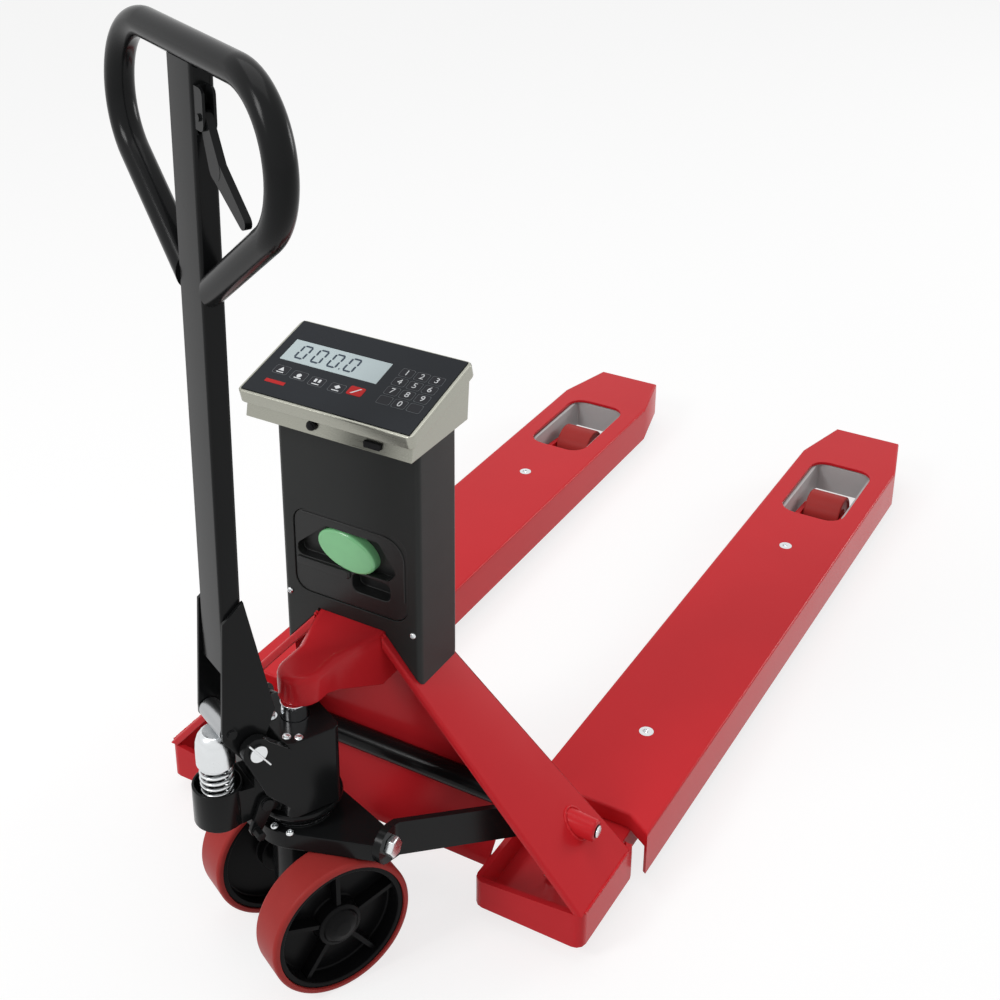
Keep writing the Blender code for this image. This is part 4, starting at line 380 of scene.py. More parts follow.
def red_root(tree, drifting):
    """Red paint from the fork's root to its roller well, where the bare grey starts."""
    well = JOINTS["roller_lever_hinge_left"]["pos_m"][1]
    place, split, fade, mix = new_nodes(tree, "ShaderNodeTexCoord", "ShaderNodeSeparateXYZ", "ShaderNodeMapRange",
                                        "ShaderNodeMix")
    fade.inputs["From Min"].default_value = well + 0.02
    fade.inputs["From Max"].default_value = well + 0.06
    mix.data_type = "RGBA"
    mix.inputs[6].default_value = (*colours().red, 1)
    mix.inputs[7].default_value = (*colours().beam, 1)
    wired(tree, (place, "Object", split, 0), (split, "Y", fade, "Value"), (fade, "Result", mix, 0),
          (mix, 2, drifting, "Colour"))


# Mesh helpers

def loose_object(name, data):
    made = bpy.data.objects.new(name, data)
    bpy.context.scene.collection.objects.link(made)
    return made


def plain_mesh(holder):
    """Mesh of an object with its modifiers applied; the object is removed."""
    graph = bpy.context.evaluated_depsgraph_get()
    made = bpy.data.meshes.new_from_object(holder.evaluated_get(graph))
    holder.modifiers.clear()
    bpy.data.objects.remove(holder)
    return made


def new_mesh(name, bm, outward=True):
    if outward:
        bmesh.ops.recalc_face_normals(bm, faces=bm.faces[:])
    mesh = bpy.data.meshes.new(name)
    bm.to_mesh(mesh)
    bm.free()
    return mesh


def shaded(mesh, angle):
    """Smooth shading that keeps the sharp edges, with flat faces kept flat."""
    mesh.shade_smooth()
    mesh.set_sharp_from_angle(angle=math.radians(angle))
    holder = loose_object(mesh.name + "_holder", mesh)
    step = holder.modifiers.new("flat_faces", "WEIGHTED_NORMAL")
    step.keep_sharp = True
    return plain_mesh(holder)


def add_piece(name, shape, paint, body, slot, *stands_for, angle=50.0):
    """Piece of a shell or mesh that rides on a body and may stand for CAD nodes."""
    mesh = new_mesh(name, shape) if isinstance(shape, bmesh.types.BMesh) else shape
    if angle:
        mesh = shaded(mesh, angle)
    mesh.materials.clear()
    mesh.materials.append(finish(paint))
    piece = loose_object(name, mesh)
    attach(piece, body)
    if stands_for:
        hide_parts(*stands_for)
    return piece


def box_of(bm):
    places = [v.co for v in bm.verts]
    return [[side(p[i] for p in places) for i in range(3)] for side in (min, max)]


def merged(mesh, reach):
    """A mesh as one joined shell without the cuts between flat triangles."""
    bm = bmesh.new()
    bm.from_mesh(mesh)
    bmesh.ops.remove_doubles(bm, verts=bm.verts[:], dist=reach)
    bmesh.ops.dissolve_limit(bm, angle_limit=math.radians(0.6), use_dissolve_boundaries=False,
                             verts=bm.verts[:], edges=bm.edges[:])
    return bm


def folds(bm):
    """Number of edges where the shell doubles back on itself."""
    return sum(edge.calc_face_angle(0) > math.radians(120) for edge in bm.edges)


def edge_rounded(bm, width, steps, limit=50.0):
    """The shell with its sharp edges rounded, by less or not at all where that would spoil it."""
    old, volume, before = box_of(bm), bm.calc_volume(), folds(bm)
    for offset in (width, width / 2, width / 4):
        trial = bm.copy()
        edges = [edge for edge in trial.edges
                 if edge.calc_face_angle(0) > math.radians(limit) and edge.calc_length() > 2.2 * offset]
        bmesh.ops.bevel(trial, geom=edges, offset=offset, offset_type="OFFSET", segments=steps, profile=0.5,
                        affect="EDGES", clamp_overlap=False)
        bmesh.ops.remove_doubles(trial, verts=trial.verts[:], dist=1e-6)
        new = box_of(trial)
        outside = max(max(old[0][i] - new[0][i], new[1][i] - old[1][i]) for i in range(3))
        if outside < 2e-5 and abs(trial.calc_volume() / volume - 1) < 0.12 and folds(trial) <= before:
            bm.free()
            return trial
        trial.free()
    return bm


def dress(node, width, steps=2, paint=None, cutters=()):
    """Piece that stands for a CAD node, with rounded edges and the node's finish."""
    bm = merged(frame["nodes"][node].data, 1e-5)
    if cutters:
        bm = carved(bm, cutters)
    if width > 0:
        bm = edge_rounded(bm, width, steps)
    mesh = new_mesh(node + "_skin", bm, outward=False)
    for layer in ("custom_normal", "sharp_edge", "sharp_face"):
        if layer in mesh.attributes:
            mesh.attributes.remove(mesh.attributes[layer])
    add_piece(node + "_dressed", mesh, paint or SLOTS[node], frame["nodes"][node]["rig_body"], SLOTS[node], node)


def carved(bm, cutters):
    """The shell less other closed meshes."""
    target = loose_object("carved", new_mesh("carved", bm, outward=False))
    tools = [loose_object("cutter", mesh) for mesh in cutters]
    for tool in tools:
        step = target.modifiers.new("cut", "BOOLEAN")
        step.operation = "DIFFERENCE"
        step.solver = "EXACT"
        step.object = tool
    made = plain_mesh(target)
    for tool in tools:
        bpy.data.objects.remove(tool)
    return merged(made, 1e-6)


def corner_arc(before, corner, after, radius, steps):
    """Points of a round bend at a corner of a line."""
    back = (before - corner).normalized()
    on = (after - corner).normalized()
    half = back.angle(on) / 2
    reach = radius / math.tan(half)
    centre = corner + (back + on).normalized() * (radius / math.sin(half))
    first = corner + back * reach - centre
    last = corner + on * reach - centre
    sweep = first.angle(last)
    points = []
    for i in range(steps + 1):
        share = i / steps
        one = first * (math.sin((1 - share) * sweep) / math.sin(sweep))
        two = last * (math.sin(share * sweep) / math.sin(sweep))
        points.append(centre + one + two)
    return points


def bent_line(corners, radii, steps):
    """Open line with a round bend at each inner corner that has a radius."""
    corners = [Vector(c) for c in corners]
    points = [corners[0]]
    for i in range(1, len(corners) - 1):
        if radii[i - 1] > 0:
            points += corner_arc(corners[i - 1], corners[i], corners[i + 1], radii[i - 1], steps)
        else:
            points.append(corners[i])
    return points + [corners[-1]]


def rounded_outline(corners, radius, steps):
    corners = [Vector(c) for c in corners]
    points = []
    for i, corner in enumerate(corners):
        points += corner_arc(corners[i - 1], corner, corners[(i + 1) % len(corners)], radius, steps)
    return points


def rounded_profile(corners, steps=4):
    """Open profile of (radius, height, rounding) corners as plain points."""
    flat = [Vector((r, h)) for r, h, _ in corners]
    return [(p.x, p.y) for p in bent_line(flat, [c[2] for c in corners[1:-1]], steps)]


def lathe(bm, profile, steps, place, closed=False):
    """Shell of a profile of (radius, height) points turned round the local Z axis."""
    rings = []
    for radius, height in profile:
        if radius < 1e-7:
            rings.append([bm.verts.new(place @ Vector((0, 0, height)))])
            continue
        ring = []
        for i in range(steps):
            turn = 2 * math.pi * i / steps
            ring.append(bm.verts.new(place @ Vector((radius * math.cos(turn), radius * math.sin(turn), height))))
        rings.append(ring)
    pairs = list(zip(rings, rings[1:]))
    if closed:
        pairs.append((rings[-1], rings[0]))
    for low, high in pairs:
        for i in range(steps):
            j = (i + 1) % steps
            corners = (low[i % len(low)], low[j % len(low)], high[j % len(high)], high[i % len(high)])
            if len(set(corners)) > 2:
                bm.faces.new(list(dict.fromkeys(corners)))
    return bm


def slab(bm, outline, low, high, place, rim=0.0, steps=2):
    """Plate of an outline between two heights, with its upper edge rounded."""
    levels = [(low, 0.0)]
    if rim > 0:
        for i in range(steps + 1):
            turn = math.pi / 2 * i / steps
            levels.append((high - rim + rim * math.sin(turn), rim * (1 - math.cos(turn))))
    else:
        levels.append((high, 0.0))
    centre = sum((Vector(p).to_2d() for p in outline), Vector((0, 0))) / len(outline)
    rings = []
    for height, inset in levels:
        ring = []
        for point in outline:
            flat = Vector(point).to_2d()
            away = flat - centre
            flat = flat - away.normalized() * inset
            ring.append(bm.verts.new(place @ Vector((flat.x, flat.y, height))))
        rings.append(ring)
    count = len(outline)
    for one, two in zip(rings, rings[1:]):
        for i in range(count):
            j = (i + 1) % count
            bm.faces.new((one[i], one[j], two[j], two[i]))
    bm.faces.new(list(reversed(rings[0])))
    bm.faces.new(rings[-1])
    return bm


def rectangle(left, low, right, high):
    return [(left, low), (right, low), (right, high), (left, high)]


def hexagon(across):
    radius = across / math.sqrt(3)
    return [(radius * math.cos(math.pi / 3 * i), radius * math.sin(math.pi / 3 * i)) for i in range(6)]


def facing(direction, place):
    """Matrix whose local Z points along a direction."""
    made = Vector(direction).to_track_quat("Z", "Y").to_matrix().to_4x4()
    made.translation = place
    return made


# Geometry trees

def geometry_tree(name, inputs):
    group = bpy.data.node_groups.new(name, "GeometryNodeTree")
    shape = [("Geometry", "Geometry", None)]
    socket_list(group, "INPUT", [*shape, *inputs, ("Material", "Material", None)])
    socket_list(group, "OUTPUT", shape)
    return group, *new_nodes(group, "NodeGroupInput", "NodeGroupOutput")


def close_tree(group, start, end, node, output):
    """Smooth, realize and paint what a node has made."""
    smooth, real, paint = new_nodes(group, "GeometryNodeSetShadeSmooth", "GeometryNodeRealizeInstances",
                                    "GeometryNodeSetMaterial")
    wired(group, (node, output, smooth, "Geometry"), (smooth, "Geometry", real, "Geometry"),
          (real, "Geometry", paint, "Geometry"), (start, "Material", paint, "Material"),
          (paint, "Geometry", end, "Geometry"))
    return group


@once
def tube_tree():
    """Round tube along a line of edges."""
    group, start, end = geometry_tree("round_tube", [("Radius", "Float", 0.01), ("Sides", "Int", 24)])
    line, ring, tube = new_nodes(group, "GeometryNodeMeshToCurve", "GeometryNodeCurvePrimitiveCircle",
                                 "GeometryNodeCurveToMesh")
    tube.inputs["Fill Caps"].default_value = True
    wired(group, (start, "Geometry", line, "Mesh"), (start, "Radius", ring, "Radius"),
          (start, "Sides", ring, "Resolution"), (line, "Curve", tube, "Curve"),
          (ring, "Curve", tube, "Profile Curve"))
    return close_tree(group, start, end, tube, "Mesh")


@once
def bead_tree():
    """Weld bead along a line of edges, its radius rippling by a seeded amount."""
    group, start, end = geometry_tree("weld_bead", [("Radius", "Float", 0.002), ("Spacing", "Float", 0.0016),
                                                    ("Ripple", "Float", 0.25), ("Seed", "Int", 3)])
    line, even, spread, wide, ring, bead = new_nodes(
        group, "GeometryNodeMeshToCurve", "GeometryNodeResampleCurve", "FunctionNodeRandomValue",
        "GeometryNodeSetCurveRadius", "GeometryNodeCurvePrimitiveCircle", "GeometryNodeCurveToMesh")
    even.mode = "LENGTH"
    ring.inputs["Resolution"].default_value = 8
    bead.inputs["Fill Caps"].default_value = True
    group.links.new(maths(group, "SUBTRACT", 1.0, start.outputs["Ripple"]), spread.inputs[2])
    group.links.new(maths(group, "ADD", 1.0, start.outputs["Ripple"]), spread.inputs[3])
    wired(group, (start, "Geometry", line, "Mesh"), (line, "Curve", even, "Curve"),
          (start, "Spacing", even, "Length"), (start, "Seed", spread, "Seed"), (even, "Curve", wide, "Curve"),
          (spread, 1, wide, "Radius"), (start, "Radius", ring, "Radius"), (wide, "Curve", bead, "Curve"),
          (ring, "Curve", bead, "Profile Curve"))
    if "Scale" in bead.inputs:
        group.links.new(spread.outputs[1], bead.inputs["Scale"])
    return close_tree(group, start, end, bead, "Mesh")


@once
def fitting_tree():
    """One fitting copied to points that carry their own turn and size."""
    group, start, end = geometry_tree("fittings", [("Source", "Object", None)])
    source, copies, turn, size, spin = new_nodes(
        group, "GeometryNodeObjectInfo", "GeometryNodeInstanceOnPoints", "GeometryNodeInputNamedAttribute",
        "GeometryNodeInputNamedAttribute", "FunctionNodeEulerToRotation")
    for node, label in ((turn, "turn"), (size, "size")):
        node.data_type = "FLOAT_VECTOR"
        node.inputs["Name"].default_value = label
    wired(group, (start, "Source", source, "Object"), (start, "Geometry", copies, "Points"),
          (source, "Geometry", copies, "Instance"), (turn, "Attribute", spin, "Euler"),
          (spin, "Rotation", copies, "Rotation"), (size, "Attribute", copies, "Scale"))
    return close_tree(group, start, end, copies, "Instances")


@once
def grid_tree():
    """One key copied to the places of a grid."""
    group, start, end = geometry_tree("key_grid", [("Source", "Object", None), ("Columns", "Int", 3),
                                                   ("Rows", "Int", 4), ("Width", "Float", 0.04),
                                                   ("Length", "Float", 0.05)])
    source, grid, copies = new_nodes(group, "GeometryNodeObjectInfo", "GeometryNodeMeshGrid",
                                     "GeometryNodeInstanceOnPoints")
    wired(group, (start, "Source", source, "Object"), (start, "Columns", grid, "Vertices X"),
          (start, "Rows", grid, "Vertices Y"), (start, "Width", grid, "Size X"), (start, "Length", grid, "Size Y"),
          (grid, "Mesh", copies, "Points"), (source, "Geometry", copies, "Instance"))
    return close_tree(group, start, end, copies, "Instances")


@once
def ring_tree():
    """One rib copied round the local Z axis."""
    group, start, end = geometry_tree("rib_ring", [("Source", "Object", None), ("Count", "Int", 5)])
    source, points, index, spun, spin, copies = new_nodes(
        group, "GeometryNodeObjectInfo", "GeometryNodeMeshLine", "GeometryNodeInputIndex", "ShaderNodeCombineXYZ",
        "FunctionNodeEulerToRotation", "GeometryNodeInstanceOnPoints")
    points.inputs["Offset"].default_value = (0, 0, 0)
    share = maths(group, "DIVIDE", index.outputs["Index"], start.outputs["Count"])
    group.links.new(maths(group, "MULTIPLY", share, 2 * math.pi), spun.inputs["Z"])
    wired(group, (start, "Source", source, "Object"), (start, "Count", points, "Count"), (spun, 0, spin, "Euler"),
          (spin, "Rotation", copies, "Rotation"), (points, "Mesh", copies, "Points"),
          (source, "Geometry", copies, "Instance"))
    return close_tree(group, start, end, copies, "Instances")


def run_tree(name, base, group, paint, values):
    """Plain mesh that a tree makes from a base mesh."""
    values = dict(values, Material=finish(paint))
    holder = loose_object(name, base)
    step = holder.modifiers.new(group.name, "NODES")
    step.node_group = group
    for item in group.interface.items_tree:
        if item.item_type == "SOCKET" and item.in_out == "INPUT" and item.name in values:
            step[item.identifier] = values[item.name]
    made = plain_mesh(holder)
    if not made.polygons:
        raise RuntimeError(name + " came out empty")
    return made


def copied(name, base, group, paint, source, values):
    """Plain mesh of the copies that a tree makes of a source mesh."""
    holder = loose_object(name + "_source", source)
    made = run_tree(name, base, group, paint, dict(values, Source=holder))
    bpy.data.objects.remove(holder)
    return made


def line_mesh(name, points):
    mesh = bpy.data.meshes.new(name)
    mesh.from_pydata([tuple(p) for p in points], [(i, i + 1) for i in range(len(points) - 1)], [])
    return mesh


def tube(name, points, radius, sides, paint):
    return run_tree(name, line_mesh(name, points), tube_tree(), paint, {"Radius": radius, "Sides": sides})


def weld(name, points, seed, radius=None):
    """Bead of red weld on the frame."""
    mesh = run_tree(name, line_mesh(name, points), bead_tree(), "red_paint",
                    {"Radius": radius or sizes().weld_radius, "Spacing": 0.0016, "Ripple": 0.22, "Seed": seed})
    mesh.shade_smooth()
    add_piece(name, mesh, "red_paint", "chassis", "red_paint", angle=None)


def fittings(name, source, spots, body):
    """Zinc copies of a fitting at spots of (place, direction, size), as one piece."""
    base = bpy.data.meshes.new(name)
    base.from_pydata([tuple(place) for place, _, _ in spots], [], [])
    turn = base.attributes.new("turn", "FLOAT_VECTOR", "POINT")
    size = base.attributes.new("size", "FLOAT_VECTOR", "POINT")
    for i, (_, direction, scale) in enumerate(spots):
        turn.data[i].vector = Vector(direction).to_track_quat("Z", "Y").to_euler()
        size.data[i].vector = (scale, scale, scale)
    add_piece(name, copied(name, base, fitting_tree(), "zinc", source, {}), "zinc", body, "zinc")


# Shapes of fittings, in their own frames with Z outwards

def pan_screw():
    """Low domed head with a socket, of unit radius."""
    bm = bmesh.new()
    lathe(bm, [(0.0, 0.18), (0.42, 0.18), (0.46, 0.60), (0.52, 0.66), (0.72, 0.58), (0.90, 0.40), (1.0, 0.16),
               (1.0, 0.0), (0.0, 0.0)], 24, Matrix.Identity(4))
    return new_mesh("pan_screw", bm)


def hex_bolt():
    """Six-sided head with a chamfered top on a washer, of unit size across the corners."""
    bm = bmesh.new()
    lathe(bm, [(0.0, 0.0), (1.28, 0.0), (1.30, 0.05), (1.28, 0.12), (0.0, 0.12)], 28, Matrix.Identity(4))
    lathe(bm, [(0.0, 0.10), (1.0, 0.10), (1.0, 0.62), (0.86, 0.72), (0.0, 0.72)], 6, Matrix.Identity(4))
    return new_mesh("hex_bolt", bm)


# Forks and frame

SIDES = ((1, "right"), (-1, "left"))
LEG_FOOT = (0.3295, 0.079)
LEG_SLOPE = 1.1714
SHAFT = (0.217, 0.141)
BOSS_WELD = 0.0172
SOCKET_ACROSS = 0.008
SOCKET_DEPTH = 0.0032


def both(*stems):
    return [stem + side for stem in stems for side in ("_left", "_right")]


def dress_all(width, *nodes):
    for node in nodes:
        dress(node, width)


def make_forks():
    dress_all(sizes().sheet_round, *both("fork_cover", "fork_beam"))
    for node in ("load_cell_left_front", "load_cell_left_rear", "load_cell_right_front", "load_cell_right_rear"):
        dress(node, 0.0, cutters=[bolt_socket(node)])


def bolt_socket(node):
    """Six-sided socket in a cover bolt's head."""
    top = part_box(node)[1].z
    places = [v.co for v in frame["nodes"][node].data.vertices if v.co.z > top - 1e-4]
    centre = sum(places, Vector()) / len(places)
    place = Matrix.Translation((centre.x, centre.y, top))
    return new_mesh("socket", slab(bmesh.new(), hexagon(SOCKET_ACROSS), -SOCKET_DEPTH, SOCKET_DEPTH, place))


def make_frame():
    dress_all(sizes().plate_round, *both("base", "leg"))
    dress_all(sizes().fine_round, *both("shaft_boss"))
    dress("head", sizes().plate_round)
    dress("back_panel", sizes().sheet_round)
    dress("lift_ram", sizes().fine_round)
    make_frame_welds()


def leg_face(side, y, z):
    """Point on a leg's outer face."""
    return Vector((side * (LEG_FOOT[0] - (z - LEG_FOOT[1]) / LEG_SLOPE), y + STEER.y, z))


def make_frame_welds():
    for side, name in SIDES:
        centre = leg_face(side, *SHAFT)
        rise = Vector((-side / LEG_SLOPE, 0, 1))
        ring = []
        for i in range(33):
            turn = 2 * math.pi * i / 32
            ring.append(centre + Vector((0, BOSS_WELD * math.cos(turn), 0)) + rise * (BOSS_WELD * math.sin(turn)))
        weld("boss_weld_" + name, ring, 5)
        foot = [leg_face(side, y, 0.0796) + Vector((side * 0.0002, 0, 0))
                for y in (0.140, 0.170, 0.200, 0.230, 0.264)]
        weld("leg_weld_" + name, foot, 7, 0.0018)
        weld("head_weld_" + name, [Vector((side * 0.0504, y + STEER.y, 0.4058)) for y in (0.118, 0.122)], 9)


# Lift linkage

def make_linkage():
    dress("rocker_shaft", sizes().fine_round)
    dress_all(sizes().plate_round, *both("rocker_arm"))
    dress_all(sizes().fine_round, *both("yoke_bolt", "push_rod", "roller_lever", "roller_axle", "lever_pin"))
    for _, name in SIDES:
        make_load_roller(name)
    low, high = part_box("rocker_shaft")
    mid = (low + high) / 2
    ends = bmesh.new()
    for x, out in ((high.x, 1), (low.x, -1)):
        lathe(ends, [(0.0, -0.0004), (0.0080, -0.0004), (0.0080, 0.0003), (0.0070, 0.0008), (0.0, 0.0008)], 28,
              facing((out, 0, 0), (x, mid.y, mid.z)))
    add_piece("shaft_ends", ends, "zinc", "rocker", "zinc")


def make_load_roller(name):
    """Roller with rounded shoulders, a shallow groove inside each rim and bearing ends."""
    node = "load_roller_" + name
    low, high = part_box(node)
    half = (high.x - low.x) / 2
    radius = (high.z - low.z) / 2
    groove = half - 0.0025
    end = [(0.0080, half, 0.0), (0.0150, half, 0.0006), (0.0150, groove, 0.0008), (radius - 0.0050, groove, 0.0008),
           (radius - 0.0050, half, 0.0006), (radius, half, 0.0028)]
    corners = [(r, -h, rounding) for r, h, rounding in end] + end[::-1]
    bm = lathe(bmesh.new(), rounded_profile(corners, 3), 72, facing((1, 0, 0), (low + high) / 2), closed=True)
    add_piece(node + "_dressed", bm, "tread", node, "tread", node)


# Column, battery and indicator

RECESS = ((-0.079, 0.482), (0.056, 0.484), (0.068, 0.498), (0.042, 0.535), (-0.036, 0.535), (-0.079, 0.498))
RECESS_DEPTH = 0.013
OVAL_CENTRE = Vector((-0.006, 0.5065))
OVAL_REACH = (0.043, 0.0255)
OVAL_TURN = Matrix.Rotation(math.radians(-14), 2)
KEYS_CENTRE = (0.080, 0.071)
FUNCTION_KEYS = ((-0.089, 0.049), (-0.062, 0.047), (-0.035, 0.045), (-0.006, 0.044))
RED_KEY = (0.019, 0.047)
SHEET_TOP = 0.0013
KEY_TOP = SHEET_TOP + 0.0003
PRINT = 0.0002


def front_of(node):
    """Matrix of a node's front: X across, Y up and Z towards the handle."""
    return axes((1, 0, 0), (0, 0, 1), (0, -1, 0), (0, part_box(node)[0].y, 0))


def on_face(x, along, height):
    """Matrix of a place on the indicator's sloping face."""
    return FACE @ Matrix.Translation((x, along, height))


def make_column():
    dress("column", sizes().case_round, paint="column_paint")
    make_battery()
    spots = [(TRUCK @ Vector((x, 0.125, z)), (0, -1, 0), sizes().screw_radius)
             for x, z in ((-0.093, 0.423), (0.091, 0.419))]
    fittings("column_screws", pan_screw(), spots, "chassis")


def make_battery():
    """Battery with a scooped hand recess, a ledge under it, a raised rim and a plain oval."""
    place = front_of("battery")
    scoop = slab(bmesh.new(), rounded_outline(RECESS, 0.008, 4), -RECESS_DEPTH, 0.004, place)
    dress("battery", sizes().moulded_round, cutters=[new_mesh("scoop", scoop)])
    outline = rounded_outline(rectangle(-0.080, 0.4700, 0.0, 0.4805), 0.003, 3)
    ledge = slab(bmesh.new(), outline, -0.002, 0.0035, place, rim=0.003)
    add_piece("battery_ledge", ledge, "battery_plastic", "battery", "battery_plastic")
    path = bent_line([(-0.070, 0.5465), (0.0790, 0.5465), (0.0790, 0.462)], [0.030], 10)
    rim = tube("battery_rim", [place @ Vector((p.x, p.y, 0.0002)) for p in path], 0.0012, 12, "battery_plastic")
    add_piece("battery_rim", rim, "battery_plastic", "battery", "battery_plastic", angle=60)
    oval = [OVAL_CENTRE + OVAL_TURN @ Vector((OVAL_REACH[0] * x, OVAL_REACH[1] * y)) for x, y in disc(1.0, 48)]
    badge = slab(bmesh.new(), oval, -RECESS_DEPTH - 0.001, 0.0012, place, rim=0.004, steps=4)
    add_piece("battery_oval", badge, "label_green", "battery", "battery_plastic")


def make_indicator():
    dress_all(sizes().case_round, "indicator_body", "indicator_bezel")
    dress_all(sizes().film_round, "keypad_panel", "display")
    make_keys()
    make_signs()
    make_digits()
    make_case_fittings()


def key_shape(bm, width, height, thick, place):
    outline = rounded_outline(rectangle(-width / 2, -height / 2, width / 2, height / 2), 0.0026, 4)
    slab(bm, outline, 0.0, thick, place, rim=thick * 0.7)


def make_keys():
    """Three by four pad of keys with a thin outline, and the row of function keys."""
    for name, grow, thick, paint in (("key_outlines", 0.0, 0.00022, "key_outline"),
                                     ("keys", 0.0010, 0.00034, "key_skin")):
        key = bmesh.new()
        key_shape(key, 0.0180 - grow, 0.0146 - grow, thick, Matrix.Identity(4))
        mesh = copied(name, bpy.data.meshes.new(name), grid_tree(), paint, new_mesh("key", key),
                      {"Columns": 3, "Rows": 4, "Width": 2 * sizes().key_pitch_x, "Length": 3 * sizes().key_pitch_y})
        mesh.transform(on_face(*KEYS_CENTRE, SHEET_TOP))
        add_piece(name, mesh, paint, "chassis", "keypad")
        bm = bmesh.new()
        for spot in FUNCTION_KEYS:
            key_shape(bm, 0.0210 - grow, 0.0150 - grow, thick, on_face(*spot, SHEET_TOP))
        add_piece("function_" + name, bm, paint, "chassis", "keypad")
    bm = bmesh.new()
    outline = rounded_outline(rectangle(-0.0105, -0.0075, 0.0105, 0.0075), 0.0026, 4)
    slab(bm, outline, 0.0, 0.00034, on_face(*RED_KEY, SHEET_TOP), rim=0.0002)
    add_piece("red_key", bm, "red_print", "chassis", "keypad")


def disc(radius, sides=20):
    return [(radius * math.cos(2 * math.pi * i / sides), radius * math.sin(2 * math.pi * i / sides))
            for i in range(sides)]


def make_signs():
    """Plain signs on the function keys, a bar across the red key and a bare strip beside them."""
    shapes = (([(-0.0040, -0.0015), (0.0040, -0.0015), (0.0, 0.0048)],), (disc(0.0032),),
              (rectangle(-0.0045, -0.0010, -0.0012, 0.0045), rectangle(0.0012, -0.0010, 0.0045, 0.0045)),
              ([(-0.0045, 0.0015), (0.0, -0.0020), (0.0045, 0.0015), (0.0, 0.0050)],))
    white = bmesh.new()
    for spot, outlines in zip(FUNCTION_KEYS, shapes):
        for outline in (*outlines, rectangle(-0.0050, -0.0052, 0.0050, -0.0038)):
            slab(white, outline, 0.0, PRINT, on_face(*spot, KEY_TOP))
    slab(white, [(-0.0060, -0.0050), (-0.0035, -0.0050), (0.0060, 0.0050), (0.0035, 0.0050)], 0.0, PRINT,
         on_face(*RED_KEY, KEY_TOP))
    add_piece("key_signs", white, "white_print", "chassis", "keypad", angle=None)
    strip = slab(bmesh.new(), rectangle(-0.098, 0.0245, -0.070, 0.0300), 0.0, PRINT, on_face(0, 0, SHEET_TOP))
    add_piece("red_strip", strip, "red_print", "chassis", "keypad", angle=None)


def make_case_fittings():
    """Cable gland and plug on the indicator's front edge."""
    place = front_of("indicator_body")
    bm = bmesh.new()
    lathe(bm, [(0.0, -0.001), (0.0062, -0.001), (0.0062, 0.0016), (0.0048, 0.0022), (0.0048, 0.0040),
               (0.0030, 0.0050), (0.0, 0.0050)], 20, place @ Matrix.Translation((-0.021, 0.6965, 0)))
    slab(bm, rounded_outline(rectangle(0.053, 0.6900, 0.076, 0.6985), 0.0015, 3), -0.001, 0.0030, place, rim=0.001)
    add_piece("case_fittings", bm, "dark_rubber", "chassis", "stainless")


def flat_text(body, height, place, thick):
    """Text as a thin mesh, centred on a place whose local Z is outwards."""
    words = bpy.data.curves.new("words", "FONT")
    words.body = body
    words.size = height / 0.7
    words.align_x = "CENTER"
    words.align_y = "CENTER"
    words.extrude = thick / 2
    words.resolution_u = 4
    mesh = plain_mesh(loose_object("words", words))
    mesh.transform(place @ Matrix.Translation((0, 0, thick / 2)))
    return mesh


def segment_zero(bm, centre, height):
    """Seven-segment nought that lies on the display."""
    width = height * 0.52
    bar = height * 0.055
    gap = height * 0.02
    segments = [(0, height / 2, 0), (width / 2, height / 4, 1), (width / 2, -height / 4, 1), (0, -height / 2, 0),
                (-width / 2, -height / 4, 1), (-width / 2, height / 4, 1)]
    for x, y, upright in segments:
        half = (height / 4 if upright else width / 2) - gap
        corners = [(-half, 0), (-half + bar, -bar), (half - bar, -bar), (half, 0), (half - bar, bar),
                   (-half + bar, bar)]
        if upright:
            corners = [(-b, a) for a, b in corners]
        slab(bm, corners, 0.0, 0.00025, on_face(centre[0] + x + 0.1 * y, centre[1] + y, 0.0010))


def make_digits():
    digits = bmesh.new()
    for row, line in enumerate(("123", "456", "789", " 0 ")):
        for column, digit in enumerate(line):
            if digit == " ":
                continue
            x = KEYS_CENTRE[0] + (column - 1) * sizes().key_pitch_x
            along = KEYS_CENTRE[1] + (1.5 - row) * sizes().key_pitch_y
            digits.from_mesh(flat_text(digit, sizes().digit_height, on_face(x, along, KEY_TOP), PRINT))
    bmesh.ops.remove_doubles(digits, verts=digits.verts[:], dist=1e-6)
    add_piece("key_digits", digits, "white_print", "chassis", "keypad", angle=None)
    bm = bmesh.new()
    for i in range(4):
        segment_zero(bm, (-0.082 + 0.0235 * i, 0.0865), sizes().segment_height)
    slab(bm, disc(0.0011, 12), 0.0, 0.00025, on_face(-0.0235, 0.0752, 0.0010))
    add_piece("display_digits", bm, "display_ink", "chassis", "display_glass", angle=None)


# Pump, wheels and handle

SPRING = (0.2473, 0.3237, 9)
SPRING_PLACE = Vector((0, -0.106, 0))
SPRING_RADIUS = 0.019
LOOP_PLANE = -0.0148
TUBE_SIDE = 0.0293


def make_pump():
    dress("pump_body", sizes().moulded_round)
    dress("pump_yoke", sizes().plate_round)
    dress_all(sizes().fine_round, "thrust_bearing", "plunger", "lowering_lever", "handle_pivot_pin")
    dress("axle_carrier", sizes().plate_round)
    dress("wheel_axle", sizes().fine_round)
    make_spring()
    make_pump_fittings()


